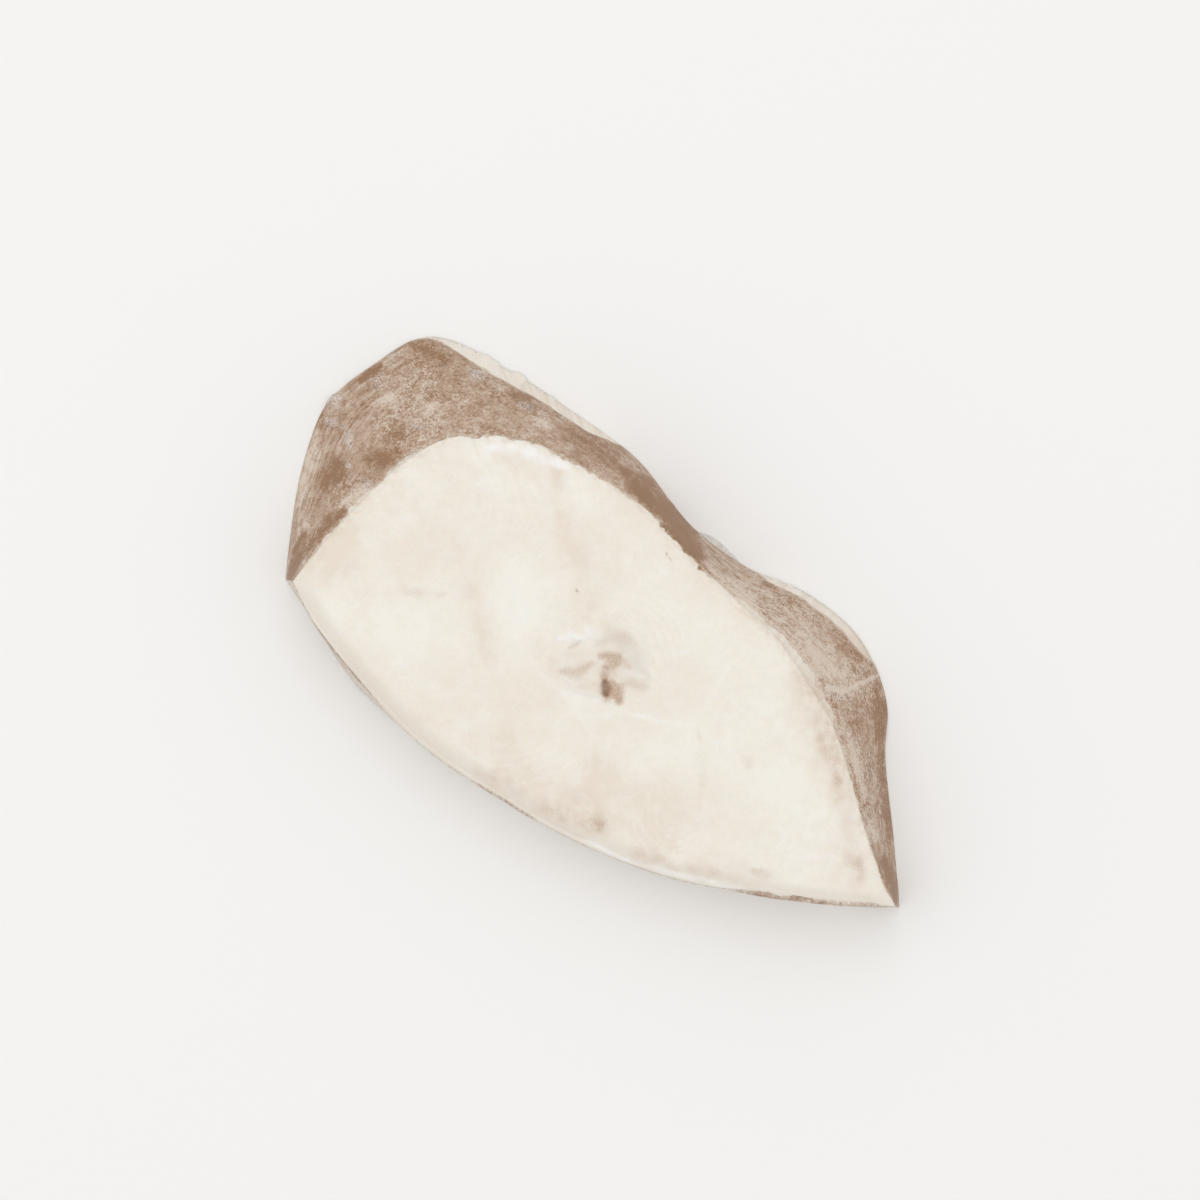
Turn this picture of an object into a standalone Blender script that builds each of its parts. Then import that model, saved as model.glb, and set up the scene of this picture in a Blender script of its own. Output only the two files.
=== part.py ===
"""Greenland halibut steak at its real size: a thick crosswise slice of a flatfish, lying on a cut face.

The flesh inside its skin is one solid. The backbone that shows at the cut runs through it as a second
solid. The fish tapers, so on the dark side the lower cut reaches much further out than the upper one
and the skin shows as a broad sloping band. The pale blind side is nearly upright and tucks in below.

Units are metres and +Z is up. The steak is longest along X, its dark skin faces +Y, and the origin is
on the table under the middle of the slice.
"""

from math import atan2, cos, pi, radians, sin

import bmesh
import bpy
from mathutils import Vector

MM = 0.001

# ---- Driving dimensions ----

THICKNESS = 28.0 * MM       # from the table to the highest point of the upper cut
CROWN = 0.8 * MM            # how far the soft flesh stands up between the skin and the bone
DARK_ROUND = 1.5 * MM       # rounding of the upper cut's edge along the dark skin
BLIND_ROUND = 3.0 * MM      # the same along the blind side, where the flesh sags over the skin
TIP_ROUND = 0.6 * MM        # the same at the two fin corners
FOOT_ROUND = 0.8 * MM       # rounding of the lower cut's edge
DARK_LEAN = 0.8             # below 1 the dark side swells outward between cut and foot
BLIND_LEAN = 2.0            # above 1 the blind side stays upright and tucks in near the foot
GAP = 0.3 * MM              # clearance between the bone and the flesh round it

BONE_RADIUS = 10.0 * MM     # mean radius of the vertebra at the upper cut
BONE_SPREAD = 1.08          # the vertebra is that much wider at the lower cut
BONE_OVAL = 0.16            # how much longer than wide the vertebra is, as a part of its radius
BONE_LOBES = 0.05           # height of the lobes where its processes start, as a part of its radius
BONE_LOBE_COUNT = 5
BONE_TURN = radians(18.0)   # direction of the vertebra's long axis
BONE_TOP = (1.0 * MM, -9.0 * MM)
BONE_FOOT = (1.0 * MM, 0.5 * MM)
BONE_RECESS = 0.3 * MM      # the bone's face lies that far below the flesh beside it
BONE_DISH = 1.2 * MM        # depth of the hollow in the middle of the vertebra's face

CANAL_WIDTH = 3.2 * MM      # spinal canal: an oval pit in the vertebra's face
CANAL_LENGTH = 6.4 * MM
CANAL_DEPTH = 5.0 * MM
CANAL_PLACE = (3.5 * MM, -13.3 * MM)
CANAL_TURN = radians(-56.0)

# Ribs going round the slice, in millimetres: x and y on the upper cut's edge, then x and y of the foot
# below. Each side runs from the left fin corner to the right one, which both sides share.
LEFT_CORNER = (-88.0, -28.5, -92.8, -28.7)
RIGHT_CORNER = (103.5, -29.0, 107.0, -28.5)
DARK_SIDE = (
    LEFT_CORNER,
    (-86.0, -17.0, -98.0, -16.0),
    (-81.0, 3.0, -105.0, 6.5),
    (-77.0, 15.0, -106.5, 21.0),
    (-70.0, 26.5, -100.6, 36.6),
    (-60.0, 33.5, -90.0, 52.5),
    (-46.0, 38.0, -68.0, 55.0),      # broadest stretch of skin
    (-31.5, 38.5, -47.0, 53.5),
    (-11.0, 36.5, -20.0, 49.5),
    (7.5, 30.5, 2.5, 40.0),
    (23.0, 26.0, 21.5, 37.0),        # waist
    (40.5, 21.0, 43.0, 38.5),
    (53.0, 14.5, 60.5, 34.5),
    (64.5, 7.5, 75.5, 22.5),         # right shoulder
    (76.0, -3.5, 83.0, 8.0),
    (89.0, -17.0, 96.0, -11.5),
    RIGHT_CORNER,
)
BLIND_SIDE = (
    LEFT_CORNER,
    (-84.0, -31.5, -85.6, -32.4),
    (-79.0, -34.9, -79.6, -35.6),
    (-60.0, -43.5, -61.5, -45.2),
    (-36.0, -51.5, -36.0, -51.0),
    (-9.0, -54.5, -9.5, -53.5),
    (17.5, -55.0, 17.0, -51.5),
    (42.0, -52.0, 41.5, -48.0),
    (63.0, -46.0, 62.5, -42.5),
    (88.0, -36.5, 88.0, -35.0),
    RIGHT_CORNER,
)

# ---- Mesh resolution ----

STEPS_PER_RIB = 5           # columns of faces between two ribs
CUT_RINGS = 7               # rings of faces across the upper cut
EDGE_STEPS = 3              # faces round the upper edge
WALL_STEPS = 7              # faces from the upper edge to the foot
BASE_RINGS = 3              # rings of faces across the lower cut
BONE_RINGS = 3              # rings of faces across each end of the bone
BONE_SIDES = 48


def clear_scene():
    """Remove every object that the scene starts with."""
    for obj in list(bpy.data.objects):
        bpy.data.objects.remove(obj, do_unlink=True)


def smooth(knots, steps):
    """Return a smooth curve through the knots, with that many points a span, up to the last knot."""
    gaps = [(b - a).length for a, b in zip(knots, knots[1:])]
    slopes = [(b - a) / gap for a, b, gap in zip(knots, knots[1:], gaps)]
    inner = [
        (slopes[i] * gaps[i + 1] + slopes[i + 1] * gaps[i]) / (gaps[i] + gaps[i + 1])
        for i in range(len(slopes) - 1)
    ]
    tangents = [slopes[0] * 1.5 - inner[0] * 0.5, *inner, slopes[-1] * 1.5 - inner[-1] * 0.5]
    points = []
    for i, gap in enumerate(gaps):
        for step in range(steps):
            u = step / steps
            rise = u * u * (3 - 2 * u)
            points.append(
                knots[i] * (1 - rise)
                + knots[i + 1] * rise
                + tangents[i] * (gap * u * (1 - u) ** 2)
                - tangents[i + 1] * (gap * u * u * (1 - u))
            )
    return points


def slice_columns():
    """Return the columns round the slice: cut edge, foot, rounding of the edge, and lean of the wall."""
    columns = []
    sides = ((DARK_SIDE, DARK_ROUND, DARK_LEAN), (tuple(reversed(BLIND_SIDE)), BLIND_ROUND, BLIND_LEAN))
    for ribs, edge_round, lean in sides:
        curve = smooth([Vector(rib) * MM for rib in ribs], STEPS_PER_RIB)
        for i, point in enumerate(curve):
            from_corner = sin(pi * i / len(curve))
            rounding = TIP_ROUND + (edge_round - TIP_ROUND) * from_corner
            power = 1 + (lean - 1) * from_corner
            columns.append((point.xy, Vector((point.z, point.w)), rounding, power))
    return columns


def inward_normals(outline):
    """Return the direction into the slice at each point of a closed outline that runs clockwise."""
    normals = []
    for i, point in enumerate(outline):
        along = outline[(i + 1) % len(outline)] - outline[i - 1]
        normals.append(Vector((along.y, -along.x)).normalized())
    return normals


def bone_radius(angle):
    """Return the vertebra's radius in a direction: an oval with low lobes."""
    turned = angle - BONE_TURN
    return BONE_RADIUS * (1 + BONE_OVAL * cos(2 * turned) + BONE_LOBES * cos(BONE_LOBE_COUNT * turned))


def bone_point(angle, depth, clearance=0.0):
    """Return a point on the bone's side; depth runs from 0 at the upper cut to 1 on the table."""
    centre = Vector(BONE_TOP).lerp(Vector(BONE_FOOT), depth)
    radius = bone_radius(angle) * (1 + (BONE_SPREAD - 1) * depth) + clearance
    return centre + Vector((cos(angle), sin(angle))) * radius


def ring_mesh(name, rings, closed):
    """Skin a stack of equal rings of points. A closed stack joins its ends; an open one is capped."""
    bm = bmesh.new()
    rows = [[bm.verts.new(point) for point in ring] for ring in rings]
    pairs = list(zip(rows, rows[1:]))
    if closed:
        pairs.append((rows[-1], rows[0]))
    for upper, lower in pairs:
        for j, corner in enumerate(upper):
            bm.faces.new((upper[j - 1], corner, lower[j], lower[j - 1]))
    if not closed:
        bm.faces.new(rows[0])
        bm.faces.new(rows[-1])
    bmesh.ops.triangulate(bm, faces=bm.faces)
    bmesh.ops.recalc_face_normals(bm, faces=bm.faces)
    mesh = bpy.data.meshes.new(name)
    bm.to_mesh(mesh)
    bm.free()
    return mesh


def steak_rings():
    """Return the rings of the flesh, from the bone outward over the cut, down the side and back below."""
    columns = slice_columns()
    cuts = [cut for cut, _, _, _ in columns]
    inward = inward_normals(cuts)
    edge_z = THICKNESS - CROWN
    angles = [atan2(cut.y - BONE_TOP[1], cut.x - BONE_TOP[0]) for cut in cuts]
    hole_top = [bone_point(angle, 0.0, GAP) for angle in angles]
    hole_foot = [bone_point(angle, 1.0, GAP) for angle in angles]
    edge_start = [cut + way * column[2] for cut, way, column in zip(cuts, inward, columns)]
    foot_start = [column[1] + way * FOOT_ROUND for way, column in zip(inward, columns)]

    rings = []
    for i in range(CUT_RINGS):
        part = i / CUT_RINGS
        z = edge_z + CROWN * sin(pi * part)
        rings.append([a.lerp(b, part).to_3d() + Vector((0, 0, z)) for a, b in zip(hole_top, edge_start)])
    for i in range(EDGE_STEPS + 1):
        turn = pi / 2 * i / EDGE_STEPS
        ring = []
        for (cut, _, rounding, _), way in zip(columns, inward):
            place = cut + way * (rounding * (1 - sin(turn)))
            ring.append((place.x, place.y, edge_z - rounding * (1 - cos(turn))))
        rings.append(ring)
    for i in range(1, WALL_STEPS + 1):
        part = i / WALL_STEPS
        ring = []
        for cut, foot, rounding, lean in columns:
            place = cut.lerp(foot, part ** lean)
            top_z = edge_z - rounding
            ring.append((place.x, place.y, top_z + (FOOT_ROUND - top_z) * part))
        rings.append(ring)
    for i in range(BASE_RINGS + 1):
        part = i / BASE_RINGS
        rings.append([a.lerp(b, part).to_3d() for a, b in zip(foot_start, hole_foot)])
    return rings


def bone_rings():
    """Return the rings of the bone, from the middle of its upper face over the side to the lower face."""
    angles = [2 * pi * i / BONE_SIDES for i in range(BONE_SIDES)]
    top_z = THICKNESS - CROWN - BONE_RECESS
    rings = []
    for i in range(1, BONE_RINGS + 1):
        part = i / BONE_RINGS
        z = top_z - BONE_DISH * (1 - part * part)
        centre = Vector(BONE_TOP)
        rings.append([centre.lerp(bone_point(a, 0.0), part).to_3d() + Vector((0, 0, z)) for a in angles])
    for i in range(BONE_RINGS, 0, -1):
        part = i / BONE_RINGS
        centre = Vector(BONE_FOOT)
        rings.append([centre.lerp(bone_point(a, 1.0), part).to_3d() for a in angles])
    return rings


def finish_material(name, colour, roughness):
    """Return a Principled material with a linear colour and a roughness."""
    material = bpy.data.materials.new(name)
    material.use_nodes = True
    shader = material.node_tree.nodes["Principled BSDF"]
    shader.inputs["Base Color"].default_value = (*colour, 1.0)
    shader.inputs["Roughness"].default_value = roughness
    shader.inputs["Metallic"].default_value = 0.0
    return material


def place(name, mesh, collection, material=None):
    """Put a mesh in the scene as a smooth-shaded object with its material."""
    obj = bpy.data.objects.new(name, mesh)
    collection.objects.link(obj)
    mesh.shade_smooth()
    mesh.set_sharp_from_angle(angle=radians(40.0))
    if material:
        mesh.materials.append(material)
    return obj


def canal_cutter(collection):
    """Return the oval pin that opens the spinal canal in the vertebra's upper face."""
    bm = bmesh.new()
    bmesh.ops.create_cone(
        bm, cap_ends=True, segments=24, radius1=0.35, radius2=0.5, depth=1.0
    )
    bmesh.ops.scale(bm, vec=(CANAL_LENGTH, CANAL_WIDTH, 2 * CANAL_DEPTH), verts=bm.verts)
    mesh = bpy.data.meshes.new("canal_cutter")
    bm.to_mesh(mesh)
    bm.free()
    cutter = place("canal_cutter", mesh, collection)
    cutter.location = (*CANAL_PLACE, THICKNESS - CROWN)
    cutter.rotation_euler.z = CANAL_TURN
    cutter.hide_render = True
    cutter.display_type = "WIRE"
    return cutter


def main():
    """Build the steak and its backbone."""
    clear_scene()
    steak_parts = bpy.data.collections.new("greenland_halibut_steak")
    cutters = bpy.data.collections.new("cutters")
    for collection in (steak_parts, cutters):
        bpy.context.scene.collection.children.link(collection)

    flesh = finish_material("halibut_flesh", (0.855, 0.800, 0.701), 0.45)
    bone = finish_material("wet_bone", (0.680, 0.560, 0.440), 0.5)

    place("fish_steak", ring_mesh("fish_steak", steak_rings(), closed=True), steak_parts, flesh)
    backbone = place("backbone", ring_mesh("backbone", bone_rings(), closed=False), steak_parts, bone)
    canal = backbone.modifiers.new("spinal_canal", "BOOLEAN")
    canal.operation = "DIFFERENCE"
    canal.solver = "EXACT"
    canal.object = canal_cutter(cutters)


main()
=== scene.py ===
"""Looks of a raw greenland halibut steak: wet cream flesh, speckled brown skin and the cut backbone.

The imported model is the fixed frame. Each piece here is a dense mesh on the same ribs as the solids,
with a procedural material. Sizes in the classes are in millimetres; the meshes are written in metres.
"""

import logging
from dataclasses import dataclass, field
from enum import Enum
from itertools import product
from math import cos, pi, radians, sin

import bpy
import numpy as np
from mathutils import Matrix, Vector


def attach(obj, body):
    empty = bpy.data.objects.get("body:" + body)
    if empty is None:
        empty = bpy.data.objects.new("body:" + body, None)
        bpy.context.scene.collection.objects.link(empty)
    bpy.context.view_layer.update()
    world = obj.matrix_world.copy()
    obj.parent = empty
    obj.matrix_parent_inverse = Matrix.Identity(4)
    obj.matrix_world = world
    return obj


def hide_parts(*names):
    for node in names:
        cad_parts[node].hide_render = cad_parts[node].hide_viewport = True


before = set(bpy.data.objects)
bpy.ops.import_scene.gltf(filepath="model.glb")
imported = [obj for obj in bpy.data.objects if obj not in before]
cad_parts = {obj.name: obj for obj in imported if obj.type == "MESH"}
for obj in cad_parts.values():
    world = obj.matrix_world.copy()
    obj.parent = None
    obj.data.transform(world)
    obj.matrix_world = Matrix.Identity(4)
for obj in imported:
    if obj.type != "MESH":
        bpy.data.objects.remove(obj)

LOG = logging.getLogger("halibut_steak")
MM = 0.001
BODY = "root"
WET_IOR = 1.38          # of wet muscle, skin and film
FAR = 30.0              # millimetres from the slice's edge, where none of the edge's marks reach
PRIMES = (7919, 73856093, 19349663, 83492791)   # they scramble a seed and a cell's place into a key
KEY_MASK = 0x7FFFFFFF   # keeps that key within 31 bits

Point = tuple[float, float]
Rib = tuple[float, float, float, float]
Inputs = dict[str | int, object]


# ---------------------------------------------------------------- random fields

@dataclass(frozen=True)
class Grain:
    """A smooth random field in space that is the same on every run."""

    seed: int

    def at(self, places: np.ndarray, size: float) -> np.ndarray:
        """Read the field.

        Args:
            places: Points in millimetres, two or three to the last axis.
            size: Width of one lump of the field, in millimetres.

        Returns:
            One value from -1 to 1 for each point.
        """
        cell = places / size
        base = np.floor(cell)
        part = cell - base
        part = part * part * (3 - 2 * part)
        base = base.astype(np.int64)
        total = np.zeros(places.shape[:-1])
        for corner in product((0, 1), repeat=places.shape[-1]):
            key = np.full(places.shape[:-1], self.seed * PRIMES[0], dtype=np.int64)
            weight = np.ones(places.shape[:-1])
            for axis, step in enumerate(corner):
                key = (key * PRIMES[1] + (base[..., axis] + step) * PRIMES[2]) & KEY_MASK
                key ^= key >> 13
                weight = weight * (part[..., axis] if step else 1 - part[..., axis])
            key = (key * PRIMES[3]) & KEY_MASK
            total += weight * ((key >> 8 & 0xFFFF) / 0x7FFF - 1)
        return total

    def rough(self, places: np.ndarray, size: float, layers: int = 3) -> np.ndarray:
        """Add finer and weaker layers of the field.

        Args:
            places: Points in millimetres.
            size: Width of the coarsest lumps, in millimetres.
            layers: Number of layers, each half as wide and half as strong as the one before.

        Returns:
            One value of about -1 to 1 for each point.
        """
        total = np.zeros(places.shape[:-1])
        for layer in range(layers):
            total += Grain(self.seed + layer).at(places, size / 2 ** layer) / 2 ** layer
        return total / 1.6

    def shift(self, places: np.ndarray, size: float, layers: int, apart: int) -> np.ndarray:
        """Pair two layered fields, their seeds that far apart, as a sideways shift of each point."""
        pair = (self, Grain(self.seed + apart))
        return np.stack([grain.rough(places, size, layers) for grain in pair], axis=-1)


def ramp(low: float, high: float, value: np.ndarray) -> np.ndarray:
    """Rise smoothly from 0 at low to 1 at high."""
    part = np.clip((value - low) / (high - low), 0, 1)
    return part * part * (3 - 2 * part)


def seam_dip(past: float, steepness: float = 1.4) -> float:
    """Return how far a surface has sunk, in millimetres, at a distance past the seam where it hides."""
    return steepness * max(past, 0.0) ** 2


def run_along(points: np.ndarray) -> np.ndarray:
    """Return how far along a line each of its points lies, from 0."""
    return np.concatenate(((0,), np.cumsum(np.linalg.norm(np.diff(points, axis=0), axis=1))))


def path_reach(places: np.ndarray, path: tuple[Point, ...]) -> tuple[np.ndarray, np.ndarray]:
    """Measure how far points lie from a line, and how far along it.

    Args:
        places: Points in plan, in millimetres.
        path: The line's own points; a single one is a spot.

    Returns:
        The distance of each point from the line in millimetres, and its share of the way along it.
    """
    if len(path) == 1:
        return np.linalg.norm(places - np.array(path[0]), axis=-1), np.full(places.shape[:-1], 0.5)
    knots = np.array(path)
    lengths = np.linalg.norm(np.diff(knots, axis=0), axis=1)
    best = np.full(places.shape[:-1], np.inf)
    share = np.zeros(places.shape[:-1])
    done = 0.0
    for start, end, length in zip(knots, knots[1:], lengths):
        along = end - start
        part = np.clip(((places - start) @ along) / length ** 2, 0, 1)
        away = np.linalg.norm(places - start - part[..., None] * along, axis=-1)
        nearer = away < best
        best = np.where(nearer, away, best)
        share = np.where(nearer, (done + part * length) / lengths.sum(), share)
        done += length
    return best, share


# ---------------------------------------------------------------- marks

class Trace(Enum):
    """What a mark on the flesh or the skin is made of; the dark specks' mark also paints the shade in pits,
    and the slime's mark paints wet glints.
    """

    PALE = "pale"
    TAN = "tan"
    MEMBRANE = "membrane"
    BLOOD = "blood"
    CLEAR = "clear"
    # dark specks, and painted shade at the bottom of pits such as the backbone's canal
    SPECK_AND_PIT_SHADE = "speck_and_pit_shade"
    DARK = "dark"
    # slime, with painted wet glints
    SLIME_AND_GLINT = "slime_and_glint"


@dataclass(frozen=True)
class Stroke:
    """A soft mark along a line: where it runs in plan, how wide and how strong it is."""

    trace: Trace
    path: tuple[Point, ...]
    width: float
    strength: float
    relief: float = 0.0
    sharpness: float = 1.0
    taper: float = 0.5

    def cover(self, places: np.ndarray) -> np.ndarray:
        """Work out how much of the mark each point gets.

        Args:
            places: Points in plan, in millimetres.

        Returns:
            A value from 0 to the mark's strength for each point.
        """
        away, share = path_reach(places, self.path)
        width = self.width * (1 - self.taper * (2 * share - 1) ** 2)
        return self.strength * np.exp(-(away / width) ** (2 * self.sharpness))


def strokes_of(trace: Trace, marks: tuple[tuple, ...]) -> tuple[Stroke, ...]:
    """Return strokes of one kind; each mark holds a path and then the stroke's other values in order."""
    return tuple(Stroke(trace, *mark) for mark in marks)


@dataclass(frozen=True)
class FlakeNest:
    """Nested muscle flakes cut across: thin white membranes as arcs round a centre."""

    centre: Point
    inner: float
    outer: float
    spacing: float
    facing: float
    spread: float
    strength: float = 1.0
    squash: float = 1.0

    def read(self, places: np.ndarray) -> tuple[np.ndarray, np.ndarray]:
        """Find where each point lies among the flakes.

        Args:
            places: Points in plan, in millimetres.

        Returns:
            The count of flakes out from the first, and how clearly they show there, from 0 to 1.
        """
        away = places - np.array(self.centre)
        turn = radians(self.facing)
        forward = away @ np.array((cos(turn), sin(turn)))
        sideways = away @ np.array((-sin(turn), cos(turn)))
        reach = np.hypot(forward, sideways * self.squash)
        angle = np.degrees(np.abs(np.arctan2(sideways, forward)))
        window = ramp(self.spread, self.spread * 0.6, angle)
        window *= ramp(self.inner - self.spacing, self.inner, reach)
        window *= ramp(self.outer + self.spacing, self.outer, reach)
        return (reach - self.inner) / self.spacing, window * self.strength


# ---------------------------------------------------------------- the slice's form

@dataclass(frozen=True)
class Columns:
    """Upright lines round the slice: its upper edge, its foot and how the side runs between them."""

    cut: np.ndarray
    foot: np.ndarray
    rounding: np.ndarray
    lean: np.ndarray
    run: np.ndarray


@dataclass(frozen=True)
class SliceForm:
    """The slice as a loft between its upper and its lower cut, on the ribs that the solid has."""

    thickness: float = 28.0
    crown: float = 0.8
    dark_round: float = 1.5
    blind_round: float = 3.0
    tip_round: float = 0.6
    foot_round: float = 0.8
    dark_lean: float = 0.8
    blind_lean: float = 2.0
    corner_reach: float = 6.0      # how far from a corner the upper edge's rounding is whole
    corner_least: float = 0.05     # share of it that is left right at the corner
    track_steps: int = 4000
    left_corner: Rib = (-88.0, -28.5, -92.8, -28.7)
    right_corner: Rib = (103.5, -29.0, 107.0, -28.5)
    dark_ribs: tuple[Rib, ...] = (
        (-86.0, -17.0, -98.0, -16.0),
        (-81.0, 3.0, -105.0, 6.5),
        (-77.0, 15.0, -106.5, 21.0),
        (-70.0, 26.5, -100.6, 36.6),
        (-60.0, 33.5, -90.0, 52.5),
        (-46.0, 38.0, -68.0, 55.0),
        (-31.5, 38.5, -47.0, 53.5),
        (-11.0, 36.5, -20.0, 49.5),
        (7.5, 30.5, 2.5, 40.0),
        (23.0, 26.0, 21.5, 37.0),
        (40.5, 21.0, 43.0, 38.5),
        (53.0, 14.5, 60.5, 34.5),
        (64.5, 7.5, 75.5, 22.5),
        (76.0, -3.5, 83.0, 8.0),
        (89.0, -17.0, 96.0, -11.5),
    )
    blind_ribs: tuple[Rib, ...] = (
        (-84.0, -31.5, -85.6, -32.4),
        (-79.0, -34.9, -79.6, -35.6),
        (-60.0, -43.5, -61.5, -45.2),
        (-36.0, -51.5, -36.0, -51.0),
        (-9.0, -54.5, -9.5, -53.5),
        (17.5, -55.0, 17.0, -51.5),
        (42.0, -52.0, 41.5, -48.0),
        (63.0, -46.0, 62.5, -42.5),
        (88.0, -36.5, 88.0, -35.0),
    )
    bone_radius: float = 10.0
    bone_spread: float = 1.08
    bone_oval: float = 0.16
    bone_lobes: float = 0.05
    bone_lobe_count: int = 5
    bone_turn: float = radians(18.0)
    bone_top: Point = (1.0, -9.0)
    bone_foot: Point = (1.0, 0.5)

    @property
    def edge_z(self) -> float:
        """Height of the upper cut at its edges."""
        return self.thickness - self.crown

    def ribs_of(self, dark: bool) -> np.ndarray:
        """Return one side's ribs with the two corners, from left to right."""
        ribs = self.dark_ribs if dark else self.blind_ribs
        return np.array((self.left_corner, *ribs, self.right_corner))

    def side(self, dark: bool, count: int) -> Columns:
        """Lay out one side of the slice.

        Args:
            dark: Whether it is the dark side or the blind side.
            count: Number of columns, evenly spaced from the left corner to the right one.

        Returns:
            The columns, with both corners.
        """
        knots = self.ribs_of(dark)
        gaps = np.linalg.norm(np.diff(knots, axis=0), axis=1)
        slopes = np.diff(knots, axis=0) / gaps[:, None]
        inner = slopes[:-1] * gaps[1:, None] + slopes[1:] * gaps[:-1, None]
        inner /= (gaps[:-1] + gaps[1:])[:, None]
        tangents = np.vstack((slopes[0] * 1.5 - inner[0] * 0.5, inner, slopes[-1] * 1.5 - inner[-1] * 0.5))

        def curve(place: np.ndarray) -> np.ndarray:
            """Follow the ribs smoothly.

            Args:
                place: Places from 0 to the number of the last rib.

            Returns:
                The four values of a rib at each place.
            """
            i = np.minimum(place.astype(int), len(gaps) - 1)
            u = (place - i)[:, None]
            rise = u * u * (3 - 2 * u)
            gap = gaps[i][:, None]
            out = tangents[i] * gap * u * (1 - u) ** 2 - tangents[i + 1] * gap * u * u * (1 - u)
            return knots[i] * (1 - rise) + knots[i + 1] * rise + out

        fine = np.linspace(0, len(gaps), self.track_steps)
        track = curve(fine)
        run = run_along((track[:, :2] + track[:, 2:]) / 2)
        even = np.linspace(0, run[-1], count)
        place = np.interp(even, run, fine)
        points = curve(place)
        from_corner = np.sin(pi * place / len(gaps))
        whole = ramp(0, self.corner_reach, np.minimum(even, even[-1] - even))
        room = self.corner_least + (1 - self.corner_least) * whole
        edge_round, lean = (self.dark_round, self.dark_lean) if dark else (self.blind_round, self.blind_lean)
        return Columns(
            cut=points[:, :2],
            foot=points[:, 2:],
            rounding=(self.tip_round + (edge_round - self.tip_round) * from_corner) * room,
            lean=1 + (lean - 1) * from_corner,
            run=even,
        )

    def all_round(self, dark_count: int, blind_count: int) -> Columns:
        """Lay out both sides as one round.

        Args:
            dark_count: Number of columns on the dark side.
            blind_count: Number of columns on the blind side.

        Returns:
            Columns clockwise round the whole slice, from the left corner over the dark side.
        """
        dark = self.side(True, dark_count + 1)
        blind = self.side(False, blind_count + 1)
        return Columns(*(
            np.concatenate((getattr(dark, name)[:-1], getattr(blind, name)[:0:-1]))
            for name in ("cut", "foot", "rounding", "lean", "run")
        ))

    def inward(self, outline: np.ndarray, closed: bool) -> np.ndarray:
        """Find the way into the slice.

        Args:
            outline: Points in plan that run clockwise round the slice.
            closed: Whether the last point is joined to the first.

        Returns:
            One unit direction in plan for each point.
        """
        if closed:
            along = np.roll(outline, -1, axis=0) - np.roll(outline, 1, axis=0)
        else:
            along = np.gradient(outline, axis=0)
        way = np.stack((along[:, 1], -along[:, 0]), axis=1)
        return way / np.linalg.norm(way, axis=1)[:, None]

    def wall_length(self, columns: Columns) -> np.ndarray:
        """Return the length of each column from the upper edge to the foot, in millimetres."""
        return np.hypot(np.linalg.norm(columns.foot - columns.cut, axis=1), self.edge_z)

    def side_row(self, columns: Columns, inward: np.ndarray, level: np.ndarray | float) -> np.ndarray:
        """Return a row of points on the slice's side.

        Args:
            columns: The columns that the row crosses.
            inward: The direction into the slice at each column.
            level: -1 to 0 round the upper edge, then 0 to 1 down to the foot; one or a value a column.

        Returns:
            One point for each column, in millimetres.
        """
        level = np.broadcast_to(np.asarray(level, dtype=float), columns.run.shape)
        turn = np.clip(level + 1, 0, 1) * pi / 2
        inset = columns.rounding * (1 - np.sin(turn))
        drop = columns.rounding * (1 - np.cos(turn))
        down = np.clip(level, 0, 1)
        share = (down ** columns.lean)[:, None]
        plan = columns.cut * (1 - share) + columns.foot * share + inward * inset[:, None]
        low = self.edge_z - columns.rounding
        z = np.where(level < 0, self.edge_z - drop, low + (self.foot_round - low) * down)
        return np.column_stack((plan, z))

    def bone_outline(self, angle: np.ndarray, depth: float, clearance: float = 0.0) -> np.ndarray:
        """Lay out the vertebra's outline.

        Args:
            angle: The direction of each point from the bone's middle.
            depth: 0 at the upper cut, 1 on the table.
            clearance: How far outside the bone the points lie, in millimetres.

        Returns:
            The points in plan, in millimetres.
        """
        turned = angle - self.bone_turn
        lobes = self.bone_lobes * np.cos(self.bone_lobe_count * turned)
        shape = 1 + self.bone_oval * np.cos(2 * turned) + lobes
        radius = self.bone_radius * shape * (1 + (self.bone_spread - 1) * depth) + clearance
        centre = np.array(self.bone_top) * (1 - depth) + np.array(self.bone_foot) * depth
        return centre + np.stack((np.cos(angle), np.sin(angle)), axis=-1) * radius[..., None]


# ---------------------------------------------------------------- meshes

def at_height(plan: np.ndarray, z: float) -> np.ndarray:
    """Return a ring of points in plan as points in space, all at one height."""
    return np.column_stack((plan, np.full(len(plan), z)))


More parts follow.
